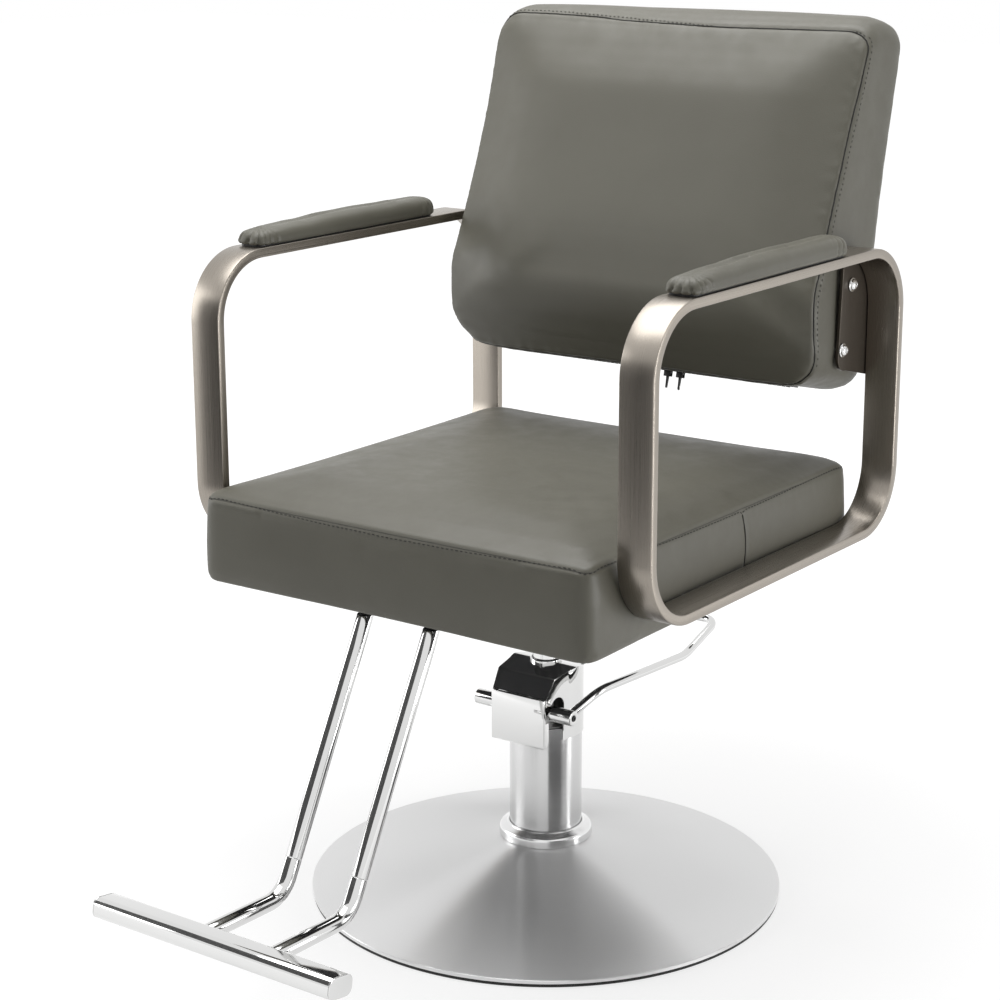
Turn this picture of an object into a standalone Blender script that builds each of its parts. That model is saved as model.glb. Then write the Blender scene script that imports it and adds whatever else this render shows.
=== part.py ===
"""Salon styling chair: round base, hydraulic lift, swivelling padded seat, two bent-bar arm loops, footrest.

Metres, +Z up. The origin is on the floor under the centre of the base, and -Y is the chair's front.
"""

import math

import bmesh
import bpy
from mathutils import Matrix, Vector

# Clearances
CLEAR = 0.0003
RUN_CLEAR = 0.0004
SUNK = 0.0008

# Base
BASE_DIAMETER = 0.550
EDGE_RING_WIDTH = 0.012
EDGE_RING_HEIGHT = 0.007
BASE_PLATE_THICKNESS = 0.006
DOME_RIM = 0.002
DOME_RISE = 0.0542
DOME_WALL = 0.0015
DOME_CURVE = 1.15
COLLAR_DIAMETER = 0.1085
COLLAR_HEIGHT = 0.0168
COLLAR_WALL_HEIGHT = 0.0112
COLLAR_LIP = 0.0018
DOME_LAND = 0.002

# Column and pump
COLUMN_DIAMETER = 0.084
COLUMN_WALL = 0.002
COLUMN_TOP = 0.206
PUMP_BODY_DIAMETER = 0.076
PUMP_BORE = 0.040
PUMP_FLOOR = 0.010
FLANGE_DIAMETER = 0.120
FLANGE_THICKNESS = 0.010
FLANGE_BOLT_COUNT = 4
FLANGE_BOLT_CIRCLE = 0.1025
PUMP_RISE_ABOVE_COLUMN = 0.0015
GLAND_DIAMETER = 0.044
GLAND_HEIGHT = 0.054
PISTON_DIAMETER = 0.031
PISTON_HEAD_HEIGHT = 0.016
PISTON_LOW_END = 0.060

# Pump hood and lever
HOOD_OVERLAP = 0.012
HOOD_TOP = 0.275
HOOD_WALL = 0.0015
HOOD_FRONT_WIDTH = 0.0755
HOOD_FRONT = 0.0527
HOOD_FRONT_TOP = 0.250
HOOD_SHOULDER = 0.030
PLATE_WIDTH = 0.0735
PLATE_HEIGHT = 0.059
PLATE_THICKNESS = 0.004
PLATE_RETURN = 0.0096
PLATE_RETURN_THICKNESS = 0.002
SHAFT_DIAMETER = 0.018
SHAFT_LENGTH = 0.134
SHAFT_FORWARD = 0.041
SHAFT_HEIGHT = 0.231
ROD_DIAMETER = 0.010
ROD_INSET = 0.0085
ROD_KNEE_OUT = 0.015
ROD_KNEE_BACK = 0.043
ROD_KNEE_RISE = 0.0235
ROD_HEEL_OUT = 0.026
ROD_HEEL_BACK = 0.209
ROD_HEEL_RISE = 0.021
ROD_CROSS_OUT = 0.027
ROD_CROSS_BACK = 0.281
ROD_CROSS_RISE = 0.046
ROD_CROSS_LENGTH = 0.137
ROD_BEND = 0.060
ROD_CROSS_BEND = 0.016
ROCKER_WIDTH = 0.016
YOKE_THICKNESS = 0.005
EAR_THICKNESS = 0.008
EAR_SPACING = 0.040
PLUNGER_DIAMETER = 0.008
PLUNGER_FORWARD = 0.0295
PLUNGER_LENGTH = 0.055
PLUNGER_TOP = 0.2200
SPRING_WIRE = 0.001
SPRING_TURNS = 3

# Swivel and seat
SEAT_WIDTH = 0.5184
SEAT_FRONT = 0.298
SEAT_REAR = 0.250
SEAT_BOTTOM = 0.400
SEAT_SEAM = 0.097
SEAT_CROWN = 0.018
SEAT_CROWN_FALL = 12
SEAT_FRONT_RADIUS = 0.018
SEAT_REAR_RADIUS = 0.024
SEAT_DRAW_IN = 0.003
SEAT_COVER = 0.014
FRAME_HEIGHT = 0.045
RAIL_WIDTH = 0.035
PANEL_THICKNESS = 0.012
HUB_DIAMETER = 0.056
HUB_LENGTH = 0.062
HUB_FLANGE_DIAMETER = 0.130
HUB_FLANGE_THICKNESS = 0.006
SPIGOT_DIAMETER = 0.025
WASHER_THICKNESS = 0.003
MOUNT_PLATE_WIDTH = 0.220
MOUNT_PLATE_THICKNESS = 0.004
HUB_BOLT_CIRCLE = 0.094

# Arm loops and pads
BAR_WIDTH = 0.040
BAR_THICKNESS = 0.0107
BAR_EDGE = 0.0012
LOOP_FRONT = 0.2531
LOOP_REAR = 0.2745
LOOP_BOTTOM = 0.4239
LOOP_TOP = 0.7538
LOOP_RADIUS = 0.075
ARM_BOLT_DIAMETER = 0.006
ARM_BOLT_GRIP = 0.016
ARM_BOLT_SPAN = 0.240
PAD_LENGTH = 0.326
PAD_WIDTH = 0.043
PAD_CENTRE = -0.018
PAD_FRONT_HEIGHT = 0.0150
PAD_REAR_HEIGHT = 0.0195
PAD_ARCH = 0.0075
PAD_BOARD_THICKNESS = 0.005
PAD_COVER = 0.005
PAD_SCREW_SPAN = 0.200
PAD_SCREW_DIAMETER = 0.005

# Backrest, in its own frame: w runs up the seam plane, v points forward from it
BACK_TILT = math.radians(13.7)
BACK_SEAM_Y = 0.1747
BACK_SEAM_Z = 0.6107
BACK_LOW = -0.016
BACK_HIGH = 0.408
BACK_DEPTH_LOW = 0.105
BACK_DEPTH_HIGH = 0.081
BACK_SWELL = 0.040
BACK_SWELL_PLACE = 0.235
BACK_SWELL_FALL = 1.45
BACK_CROWN = 0.016
BACK_SEAM_DROP = 0.019
BACK_LOW_RADIUS = 0.042
BACK_HIGH_RADIUS = 0.030
BACK_DRAW_IN = 0.003
BACK_COVER = 0.018
BACK_FRAME_FRONT = 0.010
BACK_FRAME_THICKNESS = 0.030
BACK_RAIL_WIDTH = 0.045
BACK_PANEL_THICKNESS = 0.010
BRACKET_THICKNESS = 0.0039
BACK_WIDTH = SEAT_WIDTH - 2 * (BRACKET_THICKNESS + CLEAR)
BRACKET_FRONT_TOP = 0.205
BRACKET_FRONT_LOW = 0.198
BRACKET_LOW = 0.611
BRACKET_HEEL = 0.598
BACK_BOLT_DIAMETER = 0.008
BACK_BOLT_HEIGHTS = (0.032, 0.106)
BACK_BOLT_SETBACK = 0.0247
ZIP_LENGTH = 0.400
ZIP_WIDTH = 0.012
ZIP_THICKNESS = 0.0015
ZIP_SETBACK = 0.040
ZIP_PLACES = (("left", 0.030), ("right", 0.047))
SLIDER_LENGTH = 0.009
PULL_LENGTH = 0.016

# Footrest
FOOT_SPACING = 0.088
FOOT_TUBE = 0.018
FOOT_WALL = 0.002
FOOT_TOP_FORWARD = 0.2715
FOOT_SLOPE = math.radians(28.2)
FOOT_SEAM_HEIGHT = 0.161
FOOT_ELBOW_RADIUS = 0.036
FOOT_RUN_RISE = math.radians(1.5)
FOOT_RUN_HEIGHT = 0.1245
FOOT_BAR_LENGTH = 0.312
FOOT_BAR_DEPTH = 0.0345
FOOT_BAR_HEIGHT = 0.022
FOOT_BAR_RADIUS = 0.0085
FOOT_BAR_WALL = 0.002
FOOT_BAR_FORWARD = 0.5615
FOOT_BAR_LIFT = 0.0115
FOOT_CAP = 0.0015
FOOT_PLATE_WIDTH = 0.150
FOOT_PLATE_DEPTH = 0.060
FOOT_PLATE_THICKNESS = 0.004

# Facets
ROUND = 48
MEDIUM_ROUND = 36
SMALL_ROUND = 24
BOLT_ROUND = 12
HIDDEN_BOLT_ROUND = 8
TUBE_SIDES = 14

for old in list(bpy.data.objects):
    bpy.data.objects.remove(old)


# Materials
def finish(name, colour, metallic, roughness):
    made = bpy.data.materials.new(name)
    made.use_nodes = True
    shader = made.node_tree.nodes["Principled BSDF"]
    shader.inputs["Base Color"].default_value = (*colour, 1.0)
    shader.inputs["Metallic"].default_value = metallic
    shader.inputs["Roughness"].default_value = roughness
    return made


CHROME = finish("chrome", (0.78, 0.78, 0.79), 1.0, 0.08)
STAINLESS = finish("satin_stainless", (0.62, 0.62, 0.63), 1.0, 0.28)
NICKEL = finish("brushed_nickel", (0.42, 0.39, 0.36), 1.0, 0.32)
STEEL = finish("plain_steel", (0.32, 0.32, 0.33), 1.0, 0.45)
BLACK_STEEL = finish("black_painted_steel", (0.03, 0.03, 0.03), 0.0, 0.5)
RUBBER = finish("black_rubber", (0.02, 0.02, 0.02), 0.0, 0.8)
LEATHER = finish("warm_grey_leather", (0.11, 0.107, 0.092), 0.0, 0.45)
PLYWOOD = finish("plywood", (0.45, 0.32, 0.18), 0.0, 0.8)
ZIP_BLACK = finish("black_zip_tape", (0.015, 0.015, 0.015), 0.0, 0.7)


# Building helpers
def node(name, shape, material, pivot=None):
    """Makes one named object from a bmesh, hung on a pivot empty when it moves."""
    bmesh.ops.recalc_face_normals(shape, faces=shape.faces)
    mesh = bpy.data.meshes.new(name)
    shape.to_mesh(mesh)
    shape.free()
    mesh.shade_smooth()
    mesh.set_sharp_from_angle(angle=math.radians(32))
    made = bpy.data.objects.new(name, mesh)
    bpy.context.collection.objects.link(made)
    made.data.materials.append(material)
    if pivot is not None:
        made.parent = pivot
        made.matrix_parent_inverse = Matrix.Translation(-pivot.location)
    return made


def pivot(name, place):
    made = bpy.data.objects.new(name, None)
    made.location = place
    bpy.context.collection.objects.link(made)
    return made


def cut(target, shape, label):
    """Subtracts a bmesh from a node with a Boolean, keeping the cutter as a hidden guide."""
    tool = node(target.name + "_" + label, shape, STEEL)
    tool.hide_render = True
    tool.display_type = "WIRE"
    boolean = target.modifiers.new(label, "BOOLEAN")
    boolean.operation = "DIFFERENCE"
    boolean.object = tool


def fuse(target, shape, label):
    """Unites a bmesh with a node, for small fasteners that stay with the piece that carries them."""
    tool = node(target.name + "_" + label, shape, STEEL)
    tool.hide_render = True
    tool.display_type = "WIRE"
    boolean = target.modifiers.new(label, "BOOLEAN")
    boolean.operation = "UNION"
    boolean.object = tool


def add(target, shape):
    """Puts one bmesh into another as a separate body."""
    mesh = bpy.data.meshes.new("joined")
    shape.to_mesh(mesh)
    shape.free()
    target.from_mesh(mesh)
    bpy.data.meshes.remove(mesh)


def turned(profile, segments, place=None, closed=False):
    """Spins a profile of (radius, height) points round Z. A closed profile gives a ring."""
    shape = bmesh.new()
    points = [shape.verts.new((radius, 0.0, height)) for radius, height in profile]
    pairs = list(zip(points, points[1:]))
    if closed:
        pairs.append((points[-1], points[0]))
    edges = [shape.edges.new(pair) for pair in pairs]
    bmesh.ops.spin(shape, geom=points + edges, cent=(0, 0, 0), axis=(0, 0, 1),
                   angle=2 * math.pi, steps=segments, use_merge=True)
    bmesh.ops.remove_doubles(shape, verts=shape.verts, dist=1e-6)
    if place is not None:
        bmesh.ops.transform(shape, matrix=place, verts=shape.verts)
    return shape


def ring(inner, outer, low, high, segments, place=None):
    profile = [(inner, high), (outer, high), (outer, low), (inner, low)]
    return turned(profile, segments, place, closed=True)


def pin(radius, low, high, segments, place=None):
    return turned([(0, high), (radius, high), (radius, low), (0, low)], segments, place)


def loft(shape, rings, looped=False, start_cap=True, end_cap=True):
    """Joins rings of points that have equal counts. A cap is a fan to the ring's middle."""
    rows = [[shape.verts.new(point) for point in row] for row in rings]
    spans = list(zip(rows, rows[1:]))
    if looped:
        spans.append((rows[-1], rows[0]))
    for row, after in spans:
        for i in range(len(row)):
            j = (i + 1) % len(row)
            shape.faces.new((row[i], row[j], after[j], after[i]))
    if looped:
        return shape
    for row, wanted in ((rows[0], start_cap), (rows[-1], end_cap)):
        if wanted:
            middle = shape.verts.new(sum((vert.co for vert in row), Vector()) / len(row))
            for i in range(len(row)):
                shape.faces.new((row[i], row[(i + 1) % len(row)], middle))
    return shape


def prism(outline, direction):
    """Extrudes a flat outline of 3-D points along a direction."""
    shape = bmesh.new()
    face = shape.faces.new([shape.verts.new(point) for point in outline])
    grown = bmesh.ops.extrude_face_region(shape, geom=[face])
    moved = [item for item in grown["geom"] if isinstance(item, bmesh.types.BMVert)]
    bmesh.ops.translate(shape, vec=direction, verts=moved)
    return shape


def block(low, high):
    """A box between two corners."""
    shape = bmesh.new()
    bmesh.ops.create_cube(shape, size=1.0)
    size = [high[i] - low[i] for i in range(3)]
    middle = [(high[i] + low[i]) / 2 for i in range(3)]
    bmesh.ops.scale(shape, vec=size, verts=shape.verts)
    bmesh.ops.translate(shape, vec=middle, verts=shape.verts)
    return shape


def arc(centre_a, centre_b, radius, start, end, count):
    """Points of an arc in a plane, angles in radians."""
    angles = [start + (end - start) * i / (count - 1) for i in range(count)]
    return [(centre_a + radius * math.cos(a), centre_b + radius * math.sin(a)) for a in angles]


def pad_outline(half, low, high, low_radius, high_radius, draw_in=0.0, inset=0.0, side=5):
    """A rounded rectangle with sides drawn in between its corners. It runs anticlockwise from low right."""
    half, low, high = half - inset, low + inset, high - inset
    least = 0.004
    low_radius = max(low_radius - inset, least)
    high_radius = max(high_radius - inset, least)
    corners = (
        (half - low_radius, low + low_radius, low_radius, -0.5),
        (half - high_radius, high - high_radius, high_radius, 0.0),
        (-half + high_radius, high - high_radius, high_radius, 0.5),
        (-half + low_radius, low + low_radius, low_radius, 1.0),
    )
    arcs = [arc(a, b, r, s * math.pi, (s + 0.5) * math.pi, 5) for a, b, r, s in corners]
    inward = ((-1, 0), (0, -1), (1, 0), (0, 1))
    points = []
    for i in range(4):
        points += arcs[i]
        start, end = arcs[i][-1], arcs[(i + 1) % 4][0]
        for k in range(1, side + 1):
            t = k / (side + 1)
            pull = draw_in * math.sin(math.pi * t)
            points.append(tuple(start[n] + (end[n] - start[n]) * t + inward[i][n] * pull for n in (0, 1)))
    return points


def shrunk(points, factor):
    middle = [sum(point[n] for point in points) / len(points) for n in (0, 1)]
    return [tuple(middle[n] + (point[n] - middle[n]) * factor for n in (0, 1)) for point in points]


def swept(path, radius, sides, inner=0.0):
    """A round bar along a path of points, or a tube when it has an inner radius."""
    shape = bmesh.new()
    count = len(path)
    tangents = []
    for i in range(count):
        tangents.append((path[min(i + 1, count - 1)] - path[max(i - 1, 0)]).normalized())
    side = tangents[0].orthogonal().normalized()
    frames = []
    for tangent in tangents:
        side = (side - tangent * side.dot(tangent)).normalized()
        frames.append((side, tangent.cross(side)))

    def rings(size):
        rows = []
        for point, (across, over) in zip(path, frames):
            turns = [2 * math.pi * k / sides for k in range(sides)]
            rows.append([point + size * (across * math.cos(t) + over * math.sin(t)) for t in turns])
        return rows

    if inner:
        outside, inside = rings(radius), rings(inner)
        return loft(shape, outside + inside[::-1], looped=True)
    return loft(shape, rings(radius))


def bend(corner, before, after, radius, count):
    """Points of a rounded corner between two directions."""
    angle = before.angle(after)
    reach = radius * math.tan(angle / 2)
    first, last = corner - before * reach, corner + after * reach
    normal = before.cross(after).normalized()
    centre = first + normal.cross(before) * radius
    spoke = first - centre
    steps = [angle * i / (count - 1) for i in range(count)]
    return [centre + Matrix.Rotation(step, 3, normal) @ spoke for step in steps[:-1]] + [last]


def bolt(place, head_radius, head_height, shank_radius, shank_length, segments=HIDDEN_BOLT_ROUND):
    """One bolt: its head's seat is at the origin of the place, and its shank runs along +Z."""
    rounded = head_height * 0.35
    profile = [(0, shank_length), (shank_radius, shank_length), (shank_radius, 0), (head_radius, 0),
               (head_radius, -head_height + rounded), (head_radius - rounded, -head_height), (0, -head_height)]
    return turned(profile, segments, place)


def facing(place, direction):
    """A matrix that puts Z along a direction at a place."""
    turn = Vector(direction).to_track_quat("Z", "Y").to_matrix().to_4x4()
    return Matrix.Translation(place) @ turn


# Pivots of what moves
lift_axis = pivot("lift_axis", (0, 0, 0))
swivel_axis = pivot("swivel_axis", (0, 0, SEAT_BOTTOM))
lever_axis = pivot("lever_axis", (0, -SHAFT_FORWARD, SHAFT_HEIGHT))
plunger_axis = pivot("plunger_axis", (0, -PLUNGER_FORWARD, PLUNGER_TOP))

# Base: floor plate, rubber edge ring, spun dome and collar
base_radius = BASE_DIAMETER / 2
column_radius = COLUMN_DIAMETER / 2
plate_radius = base_radius - EDGE_RING_WIDTH - CLEAR
flange_low = BASE_PLATE_THICKNESS + CLEAR
flange_top = flange_low + FLANGE_THICKNESS
dome_low = EDGE_RING_HEIGHT + CLEAR
dome_top = dome_low + DOME_RIM + DOME_RISE
collar_low = dome_top + CLEAR

base_plate = node("base_plate", pin(plate_radius, 0, BASE_PLATE_THICKNESS, ROUND), STEEL)
node("rubber_edge_ring",
     ring(base_radius - EDGE_RING_WIDTH, base_radius, 0, EDGE_RING_HEIGHT, ROUND), RUBBER)


def dome_profile():
    """The spun cover's outer curve from its eye to its rim, then back along the inside."""
    land = COLLAR_DIAMETER / 2 + DOME_LAND
    steps = 6
    outer = [(column_radius + CLEAR, dome_top)]
    for i in range(steps):
        t = i / (steps - 1)
        height = dome_low + DOME_RIM + DOME_RISE * (1 - t) ** DOME_CURVE
        outer.append((land + (base_radius - land) * t, height))
    rim = [(base_radius, dome_low), (base_radius - 2 * DOME_WALL, dome_low)]
    inner = [(radius, height - DOME_WALL) for radius, height in outer[-2::-1]]
    return outer + rim + inner


node("base_cover", turned(dome_profile(), ROUND, closed=True), STAINLESS)

collar_profile = [
    (column_radius + CLEAR, collar_low + COLLAR_HEIGHT),
    (column_radius + CLEAR + COLLAR_LIP, collar_low + COLLAR_HEIGHT),
    (column_radius + CLEAR + 1.6 * COLLAR_LIP, collar_low + COLLAR_HEIGHT - COLLAR_LIP),
    (COLLAR_DIAMETER / 2 - COLLAR_LIP, collar_low + COLLAR_WALL_HEIGHT + 0.5 * COLLAR_LIP),
    (COLLAR_DIAMETER / 2, collar_low + COLLAR_WALL_HEIGHT - COLLAR_LIP),
    (COLLAR_DIAMETER / 2, collar_low),
    (column_radius + CLEAR, collar_low),
]
node("column_collar", turned(collar_profile, MEDIUM_ROUND, closed=True), CHROME)

# Pump: column tube, cylinder with its flange, gland and wiper ring
node("column_tube", ring(column_radius - COLUMN_WALL, column_radius, flange_top + CLEAR, COLUMN_TOP,
                         MEDIUM_ROUND), STAINLESS)
pump_top = COLUMN_TOP + PUMP_RISE_ABOVE_COLUMN
pump_floor = flange_low + PUMP_FLOOR
pump_cylinder = node("pump_cylinder", turned([
    (0, pump_floor),
    (PUMP_BORE / 2, pump_floor),
    (PUMP_BORE / 2, pump_top),
    (PUMP_BODY_DIAMETER / 2, pump_top),
    (PUMP_BODY_DIAMETER / 2, flange_top),
    (FLANGE_DIAMETER / 2, flange_top),
    (FLANGE_DIAMETER / 2, flange_low),
    (0, flange_low),
], SMALL_ROUND), STEEL)
plunger_hole = PLUNGER_DIAMETER / 2 + RUN_CLEAR
plunger_low = PLUNGER_TOP - PLUNGER_LENGTH
plunger_room = 0.012
cut(pump_cylinder, pin(plunger_hole, plunger_low - plunger_room, pump_top + 0.01, BOLT_ROUND,
                       Matrix.Translation((0, -PLUNGER_FORWARD, 0))), "plunger_bore")

bolt_shank = 0.004
bolt_head = 0.0065
bolts = bmesh.new()
plate_holes = bmesh.new()
for i in range(FLANGE_BOLT_COUNT):
    angle = 2 * math.pi * (i + 0.5) / FLANGE_BOLT_COUNT
    spot = Vector((math.cos(angle), math.sin(angle), 0)) * FLANGE_BOLT_CIRCLE / 2
    seat = spot + Vector((0, 0, flange_top - SUNK))
    reach = seat.z - 2 * CLEAR
    add(bolts, bolt(facing(seat, (0, 0, -1)), bolt_head, 0.006, bolt_shank, reach))
    at = Matrix.Translation(spot)
    add(plate_holes, pin(bolt_shank + CLEAR, -0.01, BASE_PLATE_THICKNESS + 0.01, BOLT_ROUND, at))
fuse(pump_cylinder, bolts, "bolts")
cut(base_plate, plate_holes, "bolt_holes")

piston_radius = PISTON_DIAMETER / 2
gland_low = pump_top + CLEAR
gland_profile = [
    (piston_radius + RUN_CLEAR, gland_low + GLAND_HEIGHT),
    (GLAND_DIAMETER / 2 - 0.003, gland_low + GLAND_HEIGHT),
    (GLAND_DIAMETER / 2, gland_low + GLAND_HEIGHT - 0.003),
    (GLAND_DIAMETER / 2, gland_low),
    (piston_radius + RUN_CLEAR, gland_low),
]
node("gland_nut", turned(gland_profile, SMALL_ROUND, closed=True), STEEL)
wiper_low = HOOD_TOP + CLEAR
wiper_wall = 0.0025
wiper_profile = [
    (piston_radius + RUN_CLEAR, wiper_low + 0.004),
    (piston_radius + RUN_CLEAR + 0.4 * wiper_wall, wiper_low + 0.004),
    (piston_radius + RUN_CLEAR + wiper_wall, wiper_low + 0.002),
    (piston_radius + RUN_CLEAR + wiper_wall, wiper_low),
    (piston_radius + RUN_CLEAR, wiper_low),
]
node("piston_wiper_ring", turned(wiper_profile, SMALL_ROUND, closed=True), CHROME)


# Pump hood: a bent sheet cover, open below, with its front closed by a thick plate
def hood_shell():
    """Walls round the column's back that narrow to the front, with a roof that rolls over forwards."""
    back_radius = column_radius + CLEAR + HOOD_WALL
    half_front = HOOD_FRONT_WIDTH / 2
    low = COLUMN_TOP - HOOD_OVERLAP
    right = [(half_front, -HOOD_FRONT), (half_front + 0.001, -HOOD_FRONT + 0.006)]
    right += [(half_front + 0.002, -HOOD_FRONT + 0.013), (half_front + 0.003, -HOOD_FRONT + 0.022)]
    right += arc(0, 0, back_radius, math.radians(-18), math.radians(90), 10)
    drop = HOOD_TOP - HOOD_FRONT_TOP

    def roof(y):
        ahead = max(0.0, (-y - (HOOD_FRONT - HOOD_SHOULDER)) / HOOD_SHOULDER)
        return HOOD_TOP - drop * (1 - math.sqrt(max(0.0, 1 - ahead ** 2.6)))

    shape = bmesh.new()
    rows = []
    for x, y in right[:-1]:
        rows.append([shape.verts.new(p) for p in
                     ((x, y, low), (x, y, roof(y)), (-x, y, roof(y)), (-x, y, low))])
    tail = right[-1][1]
    end_low = shape.verts.new((0, tail, low))
    end_top = shape.verts.new((0, tail, roof(tail)))
    for row, after in zip(rows, rows[1:]):
        for k in range(3):
            shape.faces.new((row[k], row[k + 1], after[k + 1], after[k]))
    last = rows[-1]
    shape.faces.new((last[0], last[1], end_top, end_low))
    shape.faces.new((last[1], last[2], end_top))
    shape.faces.new((last[2], last[3], end_low, end_top))
    shape.faces.new(rows[0])
    return shape


hood = node("pump_hood", hood_shell(), CHROME)
sheet = hood.modifiers.new("sheet", "SOLIDIFY")
sheet.thickness = HOOD_WALL
sheet.offset = -1.0
sheet.use_even_offset = True
hood_low = COLUMN_TOP - HOOD_OVERLAP
shaft_radius = SHAFT_DIAMETER / 2
slot_back = 0.020
slot_radius = 0.0115
slot_centre = SHAFT_FORWARD - shaft_radius + 0.002
shaft_crest = SHAFT_HEIGHT + shaft_radius + 0.0015
slot = [(-HOOD_FRONT - 0.02, hood_low - 0.02), (-slot_centre + slot_radius, hood_low - 0.02)]
slot += arc(-slot_centre, shaft_crest - 0.0045, slot_radius, 0, math.radians(157), 9)
slot.append((-HOOD_FRONT - 0.02, shaft_crest))
side_reach = COLUMN_DIAMETER
cut(hood, prism([(-side_reach, y, z) for y, z in slot], (2 * side_reach, 0, 0)), "shaft_slot")
front_lip = 0.005
cut(hood, block((-HOOD_FRONT_WIDTH / 2 + 2 * HOOD_WALL, -HOOD_FRONT - 0.02, hood_low - 0.02),
                (HOOD_FRONT_WIDTH / 2 - 2 * HOOD_WALL, -HOOD_FRONT + 2 * HOOD_WALL, HOOD_FRONT_TOP - front_lip)),
    "front_opening")
cut(hood, pin(piston_radius + 2 * RUN_CLEAR, HOOD_TOP - 0.02, HOOD_TOP + 0.02, SMALL_ROUND), "piston_hole")

plate_rear = -HOOD_FRONT - CLEAR
plate_top = HOOD_FRONT_TOP
front_plate = node("hood_front_plate", block(
    (-PLATE_WIDTH / 2, plate_rear - PLATE_THICKNESS, plate_top - PLATE_HEIGHT),
    (PLATE_WIDTH / 2, plate_rear, plate_top)), CHROME)
edge = front_plate.modifiers.new("edge", "BEVEL")
edge.width = 0.0008
edge.segments = 2
returns = bmesh.new()
plate_face = plate_rear - PLATE_THICKNESS
for side in (-1, 1):
    flank = sorted((side * PLATE_WIDTH / 2, side * (PLATE_WIDTH / 2 - PLATE_RETURN_THICKNESS)))
    add(returns, block((flank[0], plate_face + SUNK, plate_top - PLATE_HEIGHT + SUNK),
                       (flank[1], plate_face + PLATE_RETURN, SHAFT_HEIGHT - shaft_radius - SUNK)))
fuse(front_plate, returns, "returns")

# Lever: shaft in a yoke, bent foot rod, rocker and the plunger it presses
shaft_line = Matrix.Translation((0, -SHAFT_FORWARD, SHAFT_HEIGHT)) @ Matrix.Rotation(math.pi / 2, 4, "Y")
shaft_half = SHAFT_LENGTH / 2
chamfer = 0.0015
shaft = node("lever_shaft", turned([
    (0, shaft_half),
    (shaft_radius - chamfer, shaft_half),
    (shaft_radius, shaft_half - chamfer),
    (shaft_radius, -shaft_half + chamfer),
    (shaft_radius - chamfer, -shaft_half),
    (0, -shaft_half),
], SMALL_ROUND, shaft_line), CHROME, lever_axis)


def rod_path():
    """The foot rod: out of the shaft's end, up and back, then across behind the column."""
    start = Vector((shaft_half - ROD_INSET, -SHAFT_FORWARD, SHAFT_HEIGHT))
    knee = start + Vector((ROD_KNEE_OUT, ROD_KNEE_BACK, ROD_KNEE_RISE))
    heel = start + Vector((ROD_HEEL_OUT, ROD_HEEL_BACK, ROD_HEEL_RISE))
    cross = start + Vector((ROD_CROSS_OUT, ROD_CROSS_BACK, ROD_CROSS_RISE))
    corners = [knee, heel, cross, cross - Vector((ROD_CROSS_LENGTH, 0, 0))]
    ends = [start] + corners
    runs = [(b - a).normalized() for a, b in zip(ends, ends[1:])]
    path = [start]
    for i, radius in enumerate((ROD_BEND, ROD_BEND, ROD_CROSS_BEND)):
        path += bend(corners[i], runs[i], runs[i + 1], radius, 6)
    return path + [corners[-1]]


route = rod_path()
rod_direction = (route[1] - route[0]).normalized()
rod_entry = route[0] - rod_direction * shaft_radius * 0.55
lever_rod = node("lever_rod", swept([rod_entry] + route[1:], ROD_DIAMETER / 2, 12), CHROME, lever_axis)
rod_hole = pin(ROD_DIAMETER / 2 + CLEAR, -shaft_radius * 0.55 - CLEAR, 0.05, SMALL_ROUND, facing(route[0], rod_direction))
cut(shaft, rod_hole, "rod_hole")

grub_radius = 0.003
grub_depth = ROD_INSET - ROD_DIAMETER / 2 - 0.001
grub_seat = Vector((shaft_half, -SHAFT_FORWARD, SHAFT_HEIGHT))
node("lever_grub_screw", pin(grub_radius, -0.001, grub_depth - CLEAR, BOLT_ROUND, facing(grub_seat, (-1, 0, 0))),
     STEEL, lever_axis)
cut(shaft, pin(grub_radius + CLEAR, -0.01, grub_depth, BOLT_ROUND, facing(grub_seat, (-1, 0, 0))), "grub_hole")

nose_radius = 0.004
nose_height = PLUNGER_TOP + CLEAR + nose_radius
boss = shaft_radius + CLEAR
rocker_outline = arc(-SHAFT_FORWARD, SHAFT_HEIGHT, boss + 0.002, math.radians(60), math.radians(300), 12)
rocker_outline += arc(-PLUNGER_FORWARD, nose_height, nose_radius, math.radians(250), math.radians(390), 7)
rocker = node("pump_rocker", prism([(-ROCKER_WIDTH / 2, y, z) for y, z in rocker_outline],
                                   (ROCKER_WIDTH, 0, 0)), STEEL, lever_axis)
cut(rocker, pin(boss, -ROCKER_WIDTH, ROCKER_WIDTH, SMALL_ROUND, shaft_line), "shaft_hole")

yoke_low = pump_top + CLEAR
yoke_top = yoke_low + YOKE_THICKNESS
ear_inner = EAR_SPACING / 2
ear_front = -HOOD_FRONT + CLEAR
ear_back = -SHAFT_FORWARD + shaft_radius + 0.003
ear_top = SHAFT_HEIGHT + shaft_radius + 0.003
yoke_half = ear_inner + EAR_THICKNESS
yoke_shape = [(-yoke_half, yoke_low), (yoke_half, yoke_low), (yoke_half, ear_top), (ear_inner, ear_top),
              (ear_inner, yoke_top), (-ear_inner, yoke_top), (-ear_inner, ear_top), (-yoke_half, ear_top)]
yoke = node("lever_yoke", prism([(x, ear_front, z) for x, z in yoke_shape],
                                (0, ear_back - ear_front, 0)), STEEL)
cut(yoke, pin(shaft_radius + CLEAR, -COLUMN_DIAMETER, COLUMN_DIAMETER, SMALL_ROUND, shaft_line), "shaft_hole")
plunger_line = Matrix.Translation((0, -PLUNGER_FORWARD, 0))
spring_radius = PLUNGER_DIAMETER / 2 + RUN_CLEAR + SPRING_WIRE
cut(yoke, pin(spring_radius + SPRING_WIRE, yoke_low - 0.01, yoke_top + 0.01, BOLT_ROUND, plunger_line),
    "plunger_hole")

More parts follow.
